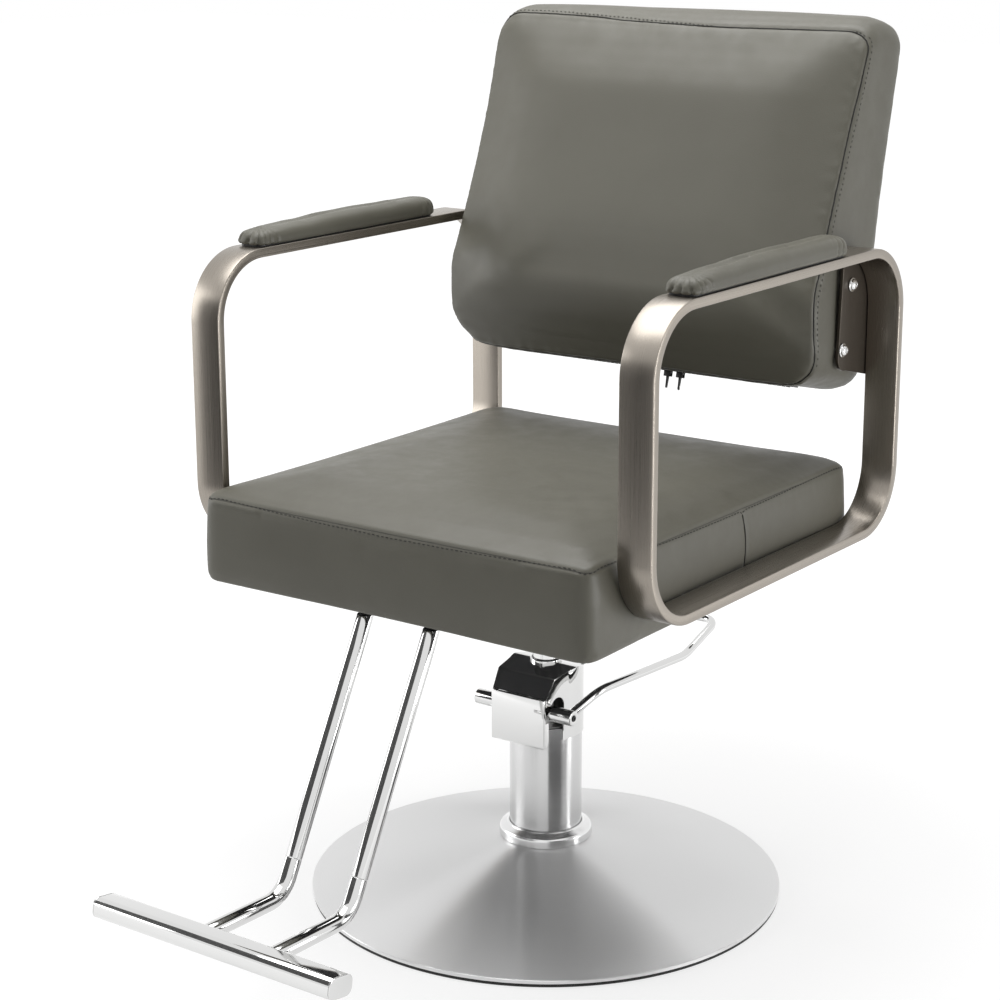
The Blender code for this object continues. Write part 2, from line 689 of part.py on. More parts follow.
collar_thickness = 0.003
collar_radius = spring_radius + SPRING_WIRE * 0.5
node("pump_plunger", turned([
    (0, PLUNGER_TOP),
    (collar_radius, PLUNGER_TOP),
    (collar_radius, PLUNGER_TOP - collar_thickness),
    (PLUNGER_DIAMETER / 2, PLUNGER_TOP - collar_thickness),
    (PLUNGER_DIAMETER / 2, plunger_low),
    (0, plunger_low),
], BOLT_ROUND, plunger_line), STEEL, plunger_axis)
spring_low = pump_top + CLEAR + SPRING_WIRE / 2
spring_high = PLUNGER_TOP - collar_thickness - CLEAR - SPRING_WIRE / 2
coil = []
coil_points = 10
for i in range(SPRING_TURNS * coil_points + 1):
    turn = 2 * math.pi * i / coil_points
    rise = spring_low + (spring_high - spring_low) * i / (SPRING_TURNS * coil_points)
    coil.append(Vector((spring_radius * math.cos(turn), -PLUNGER_FORWARD + spring_radius * math.sin(turn), rise)))
coil_gap = (spring_high - spring_low) / SPRING_TURNS - SPRING_WIRE
print("plunger spring: least gap between turns", round(coil_gap * 1000, 2), "mm")
node("plunger_spring", swept(coil, SPRING_WIRE / 2, 6), STEEL)

# Piston, washer and swivel hub
mount_top = SEAT_BOTTOM - CLEAR
mount_low = mount_top - MOUNT_PLATE_THICKNESS
hub_top = mount_low - CLEAR
hub_low = hub_top - HUB_LENGTH
washer_low = hub_low - CLEAR - WASHER_THICKNESS
shoulder = washer_low - CLEAR
spigot_radius = SPIGOT_DIAMETER / 2
piston_low = PISTON_LOW_END + PISTON_HEAD_HEIGHT + CLEAR
node("piston_rod", turned([
    (0, hub_top - 0.004),
    (spigot_radius - 0.001, hub_top - 0.004),
    (spigot_radius, hub_top - 0.005),
    (spigot_radius, shoulder),
    (piston_radius, shoulder),
    (piston_radius, piston_low),
    (0, piston_low),
], SMALL_ROUND), CHROME, lift_axis)
node("piston_head", pin(PUMP_BORE / 2 - RUN_CLEAR, PISTON_LOW_END, PISTON_LOW_END + PISTON_HEAD_HEIGHT,
                        SMALL_ROUND), STEEL, lift_axis)
node("thrust_washer", ring(spigot_radius + CLEAR, piston_radius + 0.002, washer_low,
                           washer_low + WASHER_THICKNESS, SMALL_ROUND), STEEL, lift_axis)
hub = node("swivel_hub", turned([
    (spigot_radius + RUN_CLEAR, hub_top),
    (HUB_FLANGE_DIAMETER / 2, hub_top),
    (HUB_FLANGE_DIAMETER / 2, hub_top - HUB_FLANGE_THICKNESS),
    (HUB_DIAMETER / 2 + 0.004, hub_top - HUB_FLANGE_THICKNESS),
    (HUB_DIAMETER / 2, hub_top - HUB_FLANGE_THICKNESS - 0.006),
    (HUB_DIAMETER / 2, hub_low),
    (spigot_radius + RUN_CLEAR, hub_low),
], SMALL_ROUND, closed=True), BLACK_STEEL, swivel_axis)
mount_half = MOUNT_PLATE_WIDTH / 2
mount_plate = node("seat_mount_plate", block((-mount_half, -mount_half, mount_low), (mount_half, mount_half, mount_top)),
                   BLACK_STEEL, swivel_axis)

# Seat: timber tray, cushion and the bolts that hold the hub
seat_half = SEAT_WIDTH / 2
seat_shape = (seat_half, -SEAT_FRONT, SEAT_REAR, SEAT_FRONT_RADIUS, SEAT_REAR_RADIUS, SEAT_DRAW_IN)
tray_shape = seat_shape[:-1]
frame_top = SEAT_BOTTOM + FRAME_HEIGHT
panel_top = SEAT_BOTTOM + PANEL_THICKNESS


def level(points, height):
    return [Vector((x, y, height)) for x, y in points]


tray = bmesh.new()
tray_outer = pad_outline(*tray_shape, inset=SEAT_COVER + CLEAR, side=1)
tray_inner = pad_outline(*tray_shape, inset=SEAT_COVER + CLEAR + RAIL_WIDTH, side=1)
loft(tray, [level(tray_outer, SEAT_BOTTOM), level(tray_outer, frame_top), level(tray_inner, frame_top),
            level(tray_inner, panel_top)])
seat_frame = node("seat_frame", tray, PLYWOOD, swivel_axis)


def seat_rings():
    """The box cushion from the ceiling of its pocket, out round the wall and over the crown."""
    def row(inset, height, shape=seat_shape):
        return level(pad_outline(*shape, inset=inset), height)

    seam = SEAT_BOTTOM + SEAT_SEAM
    edge_radius = 0.008
    pocket = frame_top + CLEAR
    rows = [row(SEAT_COVER, pocket, tray_shape), row(SEAT_COVER, SEAT_BOTTOM, tray_shape)]
    rows += [row(edge_radius, SEAT_BOTTOM), row(0.3 * edge_radius, SEAT_BOTTOM + 0.3 * edge_radius)]
    rows += [row(0.0, SEAT_BOTTOM + edge_radius), row(0.0, SEAT_BOTTOM + 0.45 * SEAT_SEAM)]
    rows += [row(0.002, seam - 0.012), row(0.0045, seam)]
    top = pad_outline(*seat_shape, inset=0.0045)
    for factor in (0.985, 0.95, 0.87, 0.7, 0.4):
        rows.append(level(shrunk(top, factor), seam + SEAT_CROWN * (1 - factor ** SEAT_CROWN_FALL)))
    return rows


seat_cushion = node("seat_cushion", loft(bmesh.new(), seat_rings()), LEATHER, swivel_axis)

for target, low, high in ((hub, hub_low, hub_top + 0.01), (mount_plate, mount_low - 0.01, mount_top + 0.01),
                          (seat_frame, SEAT_BOTTOM - 0.01, panel_top + 0.01)):
    holes = bmesh.new()
    for i in range(4):
        angle = math.pi / 4 + i * math.pi / 2
        spot = Vector((math.cos(angle), math.sin(angle), 0)) * HUB_BOLT_CIRCLE / 2
        add(holes, pin(bolt_shank + CLEAR, low, high, BOLT_ROUND, Matrix.Translation(spot)))
        if target is hub:
            seat = spot + Vector((0, 0, hub_top - HUB_FLANGE_THICKNESS - CLEAR))
            reach = panel_top - seat.z + 0.002
            node("hub_bolt_" + str(i + 1), bolt(facing(seat, (0, 0, 1)), bolt_head, 0.005, bolt_shank, reach),
                 STEEL, swivel_axis)
    cut(target, holes, "bolt_holes")

# Arm loops: flat bar bent to a rounded rectangle, bolted to the tray's rails from inside
bar_inner = seat_half + CLEAR
bar_outer = bar_inner + BAR_WIDTH


def loop_shape(side):
    """Rings of the bar's section set along the outer line of the loop."""
    middle_y, middle_z = (LOOP_REAR - LOOP_FRONT) / 2, (LOOP_TOP + LOOP_BOTTOM) / 2
    half_y, half_z = (LOOP_REAR + LOOP_FRONT) / 2, (LOOP_TOP - LOOP_BOTTOM) / 2
    e = BAR_EDGE
    w, t = BAR_WIDTH, BAR_THICKNESS
    section = [(e, 0), (w - e, 0), (w, e), (w, t - e), (w - e, t), (e, t), (0, t - e), (0, e)]
    rings = []
    for sign_y, sign_z, start in ((1, -1, -0.5), (1, 1, 0.0), (-1, 1, 0.5), (-1, -1, 1.0)):
        centre_y = middle_y + sign_y * (half_y - LOOP_RADIUS)
        centre_z = middle_z + sign_z * (half_z - LOOP_RADIUS)
        steps = 7
        for k in range(steps):
            angle = (start + 0.5 * k / (steps - 1)) * math.pi
            out_y, out_z = math.cos(angle), math.sin(angle)
            ring_points = []
            for across, depth in section:
                reach = LOOP_RADIUS - depth
                ring_points.append(Vector((side * (bar_inner + across), centre_y + reach * out_y,
                                           centre_z + reach * out_z)))
            rings.append(ring_points)
    return loft(bmesh.new(), rings, looped=True)


bar_mid_z = LOOP_BOTTOM + BAR_THICKNESS / 2
arm_bolt_radius = ARM_BOLT_DIAMETER / 2
rail_inner = seat_half - SEAT_COVER - CLEAR - RAIL_WIDTH
cushion_holes = bmesh.new()
frame_holes = bmesh.new()
pad_low = LOOP_TOP + CLEAR
for name, side in (("left", 1), ("right", -1)):
    loop = node("arm_loop_" + name, loop_shape(side), NICKEL, swivel_axis)
    bar_holes = bmesh.new()
    pad_screws = bmesh.new()
    for end, place in ((-1, "front"), (1, "rear")):
        spot_y = end * ARM_BOLT_SPAN / 2
        head_at = Vector((side * (rail_inner - CLEAR), spot_y, bar_mid_z))
        reach = bar_inner + ARM_BOLT_GRIP - rail_inner
        node("arm_bolt_" + name + "_" + place,
             bolt(facing(head_at, (side, 0, 0)), 0.0055, 0.005, arm_bolt_radius, reach), STEEL, swivel_axis)
        hole_at = Vector((side * bar_inner, spot_y, bar_mid_z))
        add(bar_holes, pin(arm_bolt_radius + CLEAR, -0.01, ARM_BOLT_GRIP + CLEAR, BOLT_ROUND,
                           facing(hole_at, (side, 0, 0))))
        through = SEAT_COVER + 0.02
        add(cushion_holes, pin(arm_bolt_radius + CLEAR, -through, 0.02, BOLT_ROUND, facing(hole_at, (side, 0, 0))))
        rail_at = Vector((side * (rail_inner + RAIL_WIDTH / 2), spot_y, bar_mid_z))
        add(frame_holes, pin(arm_bolt_radius + CLEAR, -RAIL_WIDTH, RAIL_WIDTH, BOLT_ROUND,
                             facing(rail_at, (side, 0, 0))))
        screw_at = Vector((side * (bar_inner + BAR_WIDTH / 2), PAD_CENTRE + end * PAD_SCREW_SPAN / 2,
                           LOOP_TOP - BAR_THICKNESS + SUNK))
        screw_radius = PAD_SCREW_DIAMETER / 2
        add(pad_screws, bolt(facing(screw_at, (0, 0, 1)), 0.0045, 0.003, screw_radius,
                             BAR_THICKNESS - SUNK + CLEAR + 0.6 * PAD_BOARD_THICKNESS))
    cut(loop, bar_holes, "bolt_holes")
    fuse(loop, pad_screws, "pad_screws")
cut(seat_cushion, cushion_holes, "bolt_holes")
cut(seat_frame, frame_holes, "arm_bolt_holes")


# Arm pads: a board under a padded cover, lower at the front
def arm_pad(name, side):
    centre_x = side * (bar_inner + BAR_WIDTH / 2)
    low_y, high_y = PAD_CENTRE - PAD_LENGTH / 2, PAD_CENTRE + PAD_LENGTH / 2
    shape = (PAD_WIDTH / 2, low_y, high_y, 0.013, 0.016)

    def row(inset, share, lift=0.0):
        """A ring at a share of the pad's own height, which grows from front to rear."""
        points = []
        for x, y in pad_outline(*shape, inset=inset, side=4):
            along = (y - low_y) / PAD_LENGTH
            height = PAD_FRONT_HEIGHT + (PAD_REAR_HEIGHT - PAD_FRONT_HEIGHT) * along
            height += PAD_ARCH * math.sin(math.pi * along)
            points.append(Vector((centre_x + x, y, pad_low + lift + share * height)))
        return points

    pocket = PAD_BOARD_THICKNESS + CLEAR
    rows = [row(PAD_COVER, 0.0, pocket), row(PAD_COVER, 0.0), row(0.003, 0.0), row(0.0005, 0.18), row(0.0, 0.4)]
    rows += [row(0.0015, 0.66), row(0.0055, 0.88), row(0.011, 0.97), row(0.016, 1.0)]
    node("arm_pad_" + name, loft(bmesh.new(), rows), LEATHER, swivel_axis)
    board_outline = pad_outline(*shape, inset=PAD_COVER + CLEAR, side=1)
    board = bmesh.new()
    loft(board, [[Vector((centre_x + x, y, z)) for x, y in board_outline]
                 for z in (pad_low, pad_low + PAD_BOARD_THICKNESS)])
    made = node("arm_pad_board_" + name, board, PLYWOOD, swivel_axis)
    holes = bmesh.new()
    for end in (-1, 1):
        at = (centre_x, PAD_CENTRE + end * PAD_SCREW_SPAN / 2, pad_low)
        add(holes, pin(PAD_SCREW_DIAMETER / 2 + CLEAR, -0.01, 0.75 * PAD_BOARD_THICKNESS, BOLT_ROUND,
                       Matrix.Translation(at)))
    cut(made, holes, "screw_holes")


for name, side in (("left", 1), ("right", -1)):
    arm_pad(name, side)


# Backrest: cushion round a timber frame, rear panel, side brackets and bolts
def back_point(u, w, v):
    lean, rise = math.sin(BACK_TILT), math.cos(BACK_TILT)
    return Vector((u, BACK_SEAM_Y + w * lean - v * rise, BACK_SEAM_Z + w * rise + v * lean))


def back_depth(w):
    share = (w - BACK_LOW) / (BACK_HIGH - BACK_LOW)
    return BACK_DEPTH_LOW + (BACK_DEPTH_HIGH - BACK_DEPTH_LOW) * share


def back_swell(w):
    """How far the front seam stands forward: most over the sitter's waist, and none at the top and the bottom."""
    share = min(max((w - BACK_LOW) / (BACK_HIGH - BACK_LOW), 0.0), 1.0)
    if share > BACK_SWELL_PLACE:
        return BACK_SWELL * (1 - (share - BACK_SWELL_PLACE) / (1 - BACK_SWELL_PLACE)) ** BACK_SWELL_FALL
    return BACK_SWELL * (1 - ((BACK_SWELL_PLACE - share) / BACK_SWELL_PLACE) ** 1.7)


back_half = BACK_WIDTH / 2
back_shape = (back_half, BACK_LOW, BACK_HIGH, BACK_LOW_RADIUS, BACK_HIGH_RADIUS, BACK_DRAW_IN)
timber_shape = back_shape[:-1]


def back_rings():
    """The cushion from the floor of its rear pocket, round its wall and over its front crown."""
    def row(inset, depth_of, shape=back_shape):
        return [back_point(u, w, depth_of(w)) for u, w in pad_outline(*shape, inset=inset)]

    def lowered(share):
        """The outline with its top edge brought down towards the seam."""
        return back_shape[:2] + (BACK_HIGH - share * BACK_SEAM_DROP,) + back_shape[3:]

    pocket = BACK_FRAME_FRONT - CLEAR
    rows = [row(BACK_COVER, lambda w: -pocket, timber_shape)]
    rows += [row(BACK_COVER, lambda w: -back_depth(w), timber_shape)]
    rows += [row(0.012, lambda w: -back_depth(w)), row(0.004, lambda w: -back_depth(w) + 0.004)]
    rows += [row(0.0, lambda w: -back_depth(w) + 0.014), row(0.001, lambda w: -0.5 * back_depth(w))]
    rows += [row(0.001, lambda w: -0.012, lowered(0.4)), row(0.0015, back_swell, lowered(1.0))]
    for inset, share in ((0.005, 0.28), (0.013, 0.52)):
        rows.append(row(inset, lambda w: back_swell(w) + share * BACK_CROWN, lowered(1.0)))
    front = pad_outline(*lowered(1.0), inset=0.013)
    for factor, share in ((0.93, 0.74), (0.82, 0.88), (0.62, 0.97), (0.35, 1.0)):
        rows.append([back_point(u, w, back_swell(w) + share * BACK_CROWN) for u, w in shrunk(front, factor)])
    return rows


back_cushion = node("back_cushion", loft(bmesh.new(), back_rings()), LEATHER, swivel_axis)

frame_shape = bmesh.new()
frame_outer = pad_outline(*timber_shape, inset=BACK_COVER + CLEAR, side=1)
frame_inner = pad_outline(*timber_shape, inset=BACK_COVER + CLEAR + BACK_RAIL_WIDTH, side=1)
frame_rear = BACK_FRAME_FRONT + BACK_FRAME_THICKNESS
loft(frame_shape, [[back_point(u, w, -v) for u, w in points] for points, v in
                   ((frame_outer, BACK_FRAME_FRONT), (frame_outer, frame_rear),
                    (frame_inner, frame_rear), (frame_inner, BACK_FRAME_FRONT))], looped=True)
back_frame = node("back_frame", frame_shape, PLYWOOD, swivel_axis)
panel_outline = pad_outline(*timber_shape, inset=BACK_COVER + CLEAR, side=1)
panel = bmesh.new()
loft(panel, [[back_point(u, w, thickness - back_depth(w)) for u, w in panel_outline]
             for thickness in (0.0, BACK_PANEL_THICKNESS)])
node("back_panel", panel, LEATHER, swivel_axis)


def bracket_outline():
    """The welded plate: front edge, round foot under the lower bolt, heel on the rear bar, top on the top bar."""
    foot_radius = 0.016
    foot_y, foot_z = BRACKET_FRONT_LOW + foot_radius, BRACKET_LOW + foot_radius
    points = arc(foot_y, foot_z, foot_radius, math.radians(180), math.radians(275), 6)
    centre_y, centre_z = LOOP_REAR - LOOP_RADIUS, LOOP_TOP - LOOP_RADIUS
    reach = LOOP_RADIUS - BAR_THICKNESS / 2
    stop = math.acos((BRACKET_FRONT_TOP - centre_y) / reach)
    return points + [(centre_y + reach, BRACKET_HEEL)] + arc(centre_y, centre_z, reach, 0, stop, 7)


back_bolt_radius = BACK_BOLT_DIAMETER / 2
bracket_outer = bar_inner - CLEAR
bracket_inner = bracket_outer - BRACKET_THICKNESS
back_holes = bmesh.new()
rail_holes = bmesh.new()
for name, side in (("left", 1), ("right", -1)):
    plate = node("back_bracket_" + name, prism([(side * bracket_inner, y, z) for y, z in bracket_outline()],
                                               (side * BRACKET_THICKNESS, 0, 0)), NICKEL, swivel_axis)
    holes = bmesh.new()
    for place, height in zip(("lower", "upper"), BACK_BOLT_HEIGHTS):
        spot = back_point(0, height, -BACK_BOLT_SETBACK)
        head_at = spot + Vector((side * (bracket_outer + CLEAR), 0, 0))
        reach = bracket_outer - back_half + BACK_COVER + 0.6 * BACK_RAIL_WIDTH
        inward = facing(head_at, (-side, 0, 0))
        node("back_bolt_" + name + "_" + place, bolt(inward, 0.0075, 0.006, back_bolt_radius,
                                                                 reach, BOLT_ROUND), CHROME, swivel_axis)
        hole_radius = back_bolt_radius + CLEAR
        add(holes, pin(hole_radius, -0.01, 0.5 * (bracket_outer - back_half) + BRACKET_THICKNESS + 0.002, BOLT_ROUND,
                       inward))
        add(back_holes, pin(hole_radius, -0.01, reach + 0.002, BOLT_ROUND, inward))
        add(rail_holes, pin(hole_radius, -0.01, reach + CLEAR, BOLT_ROUND, inward))
    cut(plate, holes, "bolt_holes")
cut(back_cushion, back_holes, "bolt_holes")
cut(back_frame, rail_holes, "bolt_holes")

# Cover zip under the backrest: tape, two sliders that meet, and their hanging pulls
zip_high = BACK_LOW - CLEAR + 0.0015
zip_low = zip_high - ZIP_THICKNESS
zip_front, zip_back = -ZIP_SETBACK + ZIP_WIDTH / 2, -ZIP_SETBACK - ZIP_WIDTH / 2
tape = [back_point(-ZIP_LENGTH / 2, w, v) for w, v in
        ((zip_low, zip_front), (zip_high, zip_front), (zip_high, zip_back), (zip_low, zip_back))]
node("zip_tape", prism(tape, (ZIP_LENGTH, 0, 0)), ZIP_BLACK, swivel_axis)
cut(back_cushion, prism([back_point(-ZIP_LENGTH / 2 - CLEAR, w, v) for w, v in (
    (BACK_LOW - 0.01, zip_front + CLEAR), (zip_high + CLEAR, zip_front + CLEAR),
    (zip_high + CLEAR, zip_back - CLEAR), (BACK_LOW - 0.01, zip_back - CLEAR))],
    (ZIP_LENGTH + 2 * CLEAR, 0, 0)), "zip_seat")
ear_wall = 0.001
eye_radius = 0.0014
pull_width = 0.0034
slider_half = pull_width / 2 + CLEAR + ear_wall
slider_body = 0.003
ear_drop = 0.004
for name, place_x in ZIP_PLACES:
    slider_top = zip_low - CLEAR
    slider_low = slider_top - slider_body
    profile = ((slider_top, slider_half), (slider_top, -slider_half), (slider_low - ear_drop, -slider_half),
               (slider_low - ear_drop, ear_wall - slider_half), (slider_low, ear_wall - slider_half),
               (slider_low, slider_half - ear_wall), (slider_low - ear_drop, slider_half - ear_wall),
               (slider_low - ear_drop, slider_half))
    slider_start = place_x - SLIDER_LENGTH / 2
    slider_axis = pivot("zip_slide_" + name, back_point(place_x, slider_top, -ZIP_SETBACK))
    node("zip_slider_" + name, prism([back_point(slider_start, w, v - ZIP_SETBACK) for w, v in profile],
                                     (SLIDER_LENGTH, 0, 0)), ZIP_BLACK, slider_axis)
    eye_w = slider_low - eye_radius - CLEAR
    eye = back_point(place_x, eye_w, -ZIP_SETBACK)
    pull_axis = pivot("zip_pull_axis_" + name, eye)
    tab = arc(0, 0, eye_radius, 0, math.pi, 7) + [(-0.0007, -PULL_LENGTH), (0.0007, -PULL_LENGTH)]
    rear = -ZIP_SETBACK - pull_width / 2
    flat = (back_point(0, 0, 1) - back_point(0, 0, 0)) * pull_width
    node("zip_pull_" + name, prism([back_point(place_x + u, eye_w + w, rear) for u, w in tab], flat),
         CHROME, pull_axis)

# Footrest: plate under the seat, two tubes, two elbows and the cross bar with its end caps
foot_plate_low = SEAT_BOTTOM - CLEAR - FOOT_PLATE_THICKNESS
foot_plate_back = -FOOT_TOP_FORWARD + FOOT_TUBE
foot_plate = node("footrest_plate", block(
    (-FOOT_PLATE_WIDTH / 2, foot_plate_back - 0.012, foot_plate_low),
    (FOOT_PLATE_WIDTH / 2, foot_plate_back - 0.012 + FOOT_PLATE_DEPTH, SEAT_BOTTOM - CLEAR)),
    BLACK_STEEL, swivel_axis)
foot_radius = FOOT_TUBE / 2
tube_top = foot_plate_low - CLEAR
down = Vector((0, -math.sin(FOOT_SLOPE), -math.cos(FOOT_SLOPE)))
run = Vector((0, -math.cos(FOOT_RUN_RISE), math.sin(FOOT_RUN_RISE)))
bar_back = -FOOT_BAR_FORWARD + FOOT_BAR_DEPTH / 2


def along(start, direction, axis, value):
    """The point where a line from a start reaches a value on one axis."""
    return start + direction * ((value - start[axis]) / direction[axis])


for name, side in (("left", 1), ("right", -1)):
    top = Vector((side * FOOT_SPACING / 2, -FOOT_TOP_FORWARD, tube_top))
    seam = along(top, down, 2, FOOT_SEAM_HEIGHT)
    tube = swept([top, seam + Vector(down) * -CLEAR / 2], foot_radius, TUBE_SIDES, foot_radius - FOOT_WALL)
    for vert in tube.verts:
        if (vert.co - top).length < FOOT_TUBE:
            vert.co = along(vert.co, down, 2, tube_top)
    node("footrest_tube_" + name, tube, CHROME, swivel_axis)
    corner = along(top, down, 2, FOOT_RUN_HEIGHT)
    finish_at = along(corner, run, 1, bar_back + CLEAR)
    path = [seam + Vector(down) * CLEAR / 2] + bend(corner, down, run, FOOT_ELBOW_RADIUS, 7) + [finish_at]
    elbow = swept(path, foot_radius, TUBE_SIDES, foot_radius - FOOT_WALL)
    for vert in elbow.verts:
        if (vert.co - finish_at).length < FOOT_TUBE:
            vert.co = along(vert.co, run, 1, bar_back + CLEAR)
    node("footrest_elbow_" + name, elbow, CHROME, swivel_axis)

bar_z = along(along(Vector((0, -FOOT_TOP_FORWARD, tube_top)), down, 2, FOOT_RUN_HEIGHT), run, 1, bar_back).z + FOOT_BAR_LIFT


def bar_section(x, inset):
    outline = pad_outline(FOOT_BAR_DEPTH / 2, -FOOT_BAR_HEIGHT / 2, FOOT_BAR_HEIGHT / 2, FOOT_BAR_RADIUS,
                          FOOT_BAR_RADIUS, inset=inset, side=1)
    return [Vector((x, -FOOT_BAR_FORWARD + y, bar_z + z)) for y, z in outline]


bar_half = FOOT_BAR_LENGTH / 2 - FOOT_CAP - CLEAR
node("footrest_bar", loft(bmesh.new(), [bar_section(-bar_half, 0), bar_section(bar_half, 0),
                                        bar_section(bar_half, FOOT_BAR_WALL),
                                        bar_section(-bar_half, FOOT_BAR_WALL)], looped=True), CHROME, swivel_axis)
plug_inset = FOOT_BAR_WALL + CLEAR
for name, side in (("left", 1), ("right", -1)):
    outer, face, plug = FOOT_BAR_LENGTH / 2, FOOT_BAR_LENGTH / 2 - FOOT_CAP, bar_half - 0.010
    cap = bmesh.new()
    loft(cap, [bar_section(side * outer, 0), bar_section(side * face, 0),
               bar_section(side * face, plug_inset), bar_section(side * plug, plug_inset)])
    node("footrest_cap_" + name, cap, CHROME, swivel_axis)

foot_screws = bmesh.new()
frame_screw_holes = bmesh.new()
for x_side in (-1, 1):
    spot = Vector((x_side * (FOOT_PLATE_WIDTH / 2 - 0.012), foot_plate_back - 0.012 + FOOT_PLATE_DEPTH - 0.014,
                   foot_plate_low + SUNK))
    reach = FOOT_PLATE_THICKNESS + 0.8 * PANEL_THICKNESS
    add(foot_screws, bolt(facing(spot, (0, 0, 1)), 0.006, 0.004, 0.003, reach))
    add(frame_screw_holes, pin(0.003 + CLEAR, -0.01, reach + CLEAR, BOLT_ROUND, facing(spot, (0, 0, 1))))
fuse(foot_plate, foot_screws, "screws")
cut(seat_frame, frame_screw_holes, "foot_screw_holes")

bpy.context.view_layer.update()
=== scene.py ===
# %% [markdown]
# # A salon styling chair, dressed for a product picture
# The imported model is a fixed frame: every piece of it already has its place, in metres, with the floor at zero and
# the chair's front towards minus Y. This lesson keeps that frame, and gives it rounder metal, soft cushions and
# finishes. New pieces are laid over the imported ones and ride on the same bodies, so the chair still swivels.

# %% Load the frame
import math

import bmesh
import bpy
from mathutils import Matrix, Vector, noise
from mathutils.bvhtree import BVHTree
from mathutils.kdtree import KDTree


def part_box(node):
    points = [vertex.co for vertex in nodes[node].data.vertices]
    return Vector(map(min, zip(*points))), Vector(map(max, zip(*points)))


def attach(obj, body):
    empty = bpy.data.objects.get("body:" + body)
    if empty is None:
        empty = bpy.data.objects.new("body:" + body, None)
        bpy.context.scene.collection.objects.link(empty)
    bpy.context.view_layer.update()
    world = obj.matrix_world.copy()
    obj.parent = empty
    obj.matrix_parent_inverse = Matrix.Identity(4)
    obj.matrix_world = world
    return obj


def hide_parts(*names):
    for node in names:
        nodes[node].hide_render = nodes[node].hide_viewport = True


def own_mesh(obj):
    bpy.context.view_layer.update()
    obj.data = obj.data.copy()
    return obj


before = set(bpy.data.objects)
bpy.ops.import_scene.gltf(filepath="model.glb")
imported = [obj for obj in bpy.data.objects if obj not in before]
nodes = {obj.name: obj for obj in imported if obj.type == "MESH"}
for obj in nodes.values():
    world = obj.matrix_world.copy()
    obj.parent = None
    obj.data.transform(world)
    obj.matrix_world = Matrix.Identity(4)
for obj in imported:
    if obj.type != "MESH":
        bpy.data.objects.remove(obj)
for startup in ("Cube", "Light", "Camera"):
    if startup in bpy.data.objects:
        bpy.data.objects.remove(bpy.data.objects[startup])
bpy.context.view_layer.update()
scene = bpy.context.scene

# %% [markdown]
# ## The camera
# The photograph was taken from the chair's front left, from a little above the backrest, with a long lens. The place
# and the turn below come from matching known points of the base, the arms and the seat with their pixels.

# %% Camera
CAMERA_PLACE = (1.43631, -2.06953, 1.13926)
CAMERA_YAW, CAMERA_PITCH, CAMERA_ROLL = (math.radians(a) for a in (35.958, 75.065, -0.169))


def linked(name, data):
    """A new object, put into the scene."""
    made = bpy.data.objects.new(name, data)
    scene.collection.objects.link(made)
    return made


lens_data = bpy.data.cameras.new("studio_camera")
lens_data.sensor_width, lens_data.lens = 36.0, 82.857
lens_data.clip_start, lens_data.clip_end = 0.05, 100.0
camera = linked("studio_camera", lens_data)
turn = Matrix.Rotation(CAMERA_YAW, 4, "Z") @ Matrix.Rotation(CAMERA_PITCH, 4, "X")
camera.matrix_world = Matrix.Translation(CAMERA_PLACE) @ turn @ Matrix.Rotation(CAMERA_ROLL, 4, "Z")
scene.camera = camera
scene.view_settings.view_transform = "Standard"
print("camera with a lens of", round(lens_data.lens), "mm")

# %% [markdown]
# ## Small tools for materials
# A material is a tree of nodes. These few helpers add a node, set its sockets and join it, so that each finish below
# reads as a short recipe. All patterns follow the piece's own Object coordinates or its UV map.


# %% Material tools
def new_finish(name, colour, metallic, roughness, specular=0.5):
    """A Principled material with its plain values set, and its tree."""
    made = bpy.data.materials.new(name)
    made.use_nodes = True
    tree = made.node_tree
    shader = tree.nodes["Principled BSDF"]
    shader.inputs["Base Color"].default_value = (*colour, 1.0)
    shader.inputs["Metallic"].default_value = metallic
    shader.inputs["Roughness"].default_value = roughness
    shader.inputs["Specular IOR Level"].default_value = specular
    made.diffuse_color = (*colour, 1.0)
    return made, tree, shader


def add_node(tree, kind, sockets=None, **settings):
    """A node with its settings, and its sockets set or joined by name."""
    made = tree.nodes.new(kind)
    for key, value in settings.items():
        setattr(made, key, value)
    for key, value in (sockets or {}).items():
        if isinstance(value, bpy.types.NodeSocket):
            tree.links.new(value, made.inputs[key])
        else:
            made.inputs[key].default_value = value
    return made


def object_space(tree, scale=(1.0, 1.0, 1.0)):
    place = add_node(tree, "ShaderNodeTexCoord").outputs["Object"]
    return add_node(tree, "ShaderNodeMapping", {"Vector": place, "Scale": scale}).outputs["Vector"]


def speckle(tree, where, scale, detail=2.0, rough=0.5):
    sockets = {"Vector": where, "Scale": scale, "Detail": detail, "Roughness": rough}
    return add_node(tree, "ShaderNodeTexNoise", sockets).outputs["Fac"]


def spread(tree, value, low, high, first=0.3, last=0.7):
    """A value moved from the range first to last onto low to high."""
    sockets = {"Value": value, "From Min": first, "From Max": last, "To Min": low, "To Max": high}
    return add_node(tree, "ShaderNodeMapRange", sockets).outputs["Result"]


def two_tone(tree, shader, value, dark, light):
    """A colour that goes from dark to light as a value grows."""
    ramp = add_node(tree, "ShaderNodeValToRGB", {"Fac": value})
    for stop, place, tone in zip(ramp.color_ramp.elements, (0.3, 0.7), (dark, light)):
        stop.position, stop.color = place, (*tone, 1.0)
    tree.links.new(ramp.outputs["Color"], shader.inputs["Base Color"])


def gloss(tree, shader, value, low, high, first=0.3, last=0.7):
    """A roughness that goes from low to high as a value grows."""
    tree.links.new(spread(tree, value, low, high, first, last), shader.inputs["Roughness"])


def raised(tree, shader, height, strength, distance):
    bump = add_node(tree, "ShaderNodeBump", {"Height": height, "Strength": strength, "Distance": distance})
    tree.links.new(bump.outputs["Normal"], shader.inputs["Normal"])


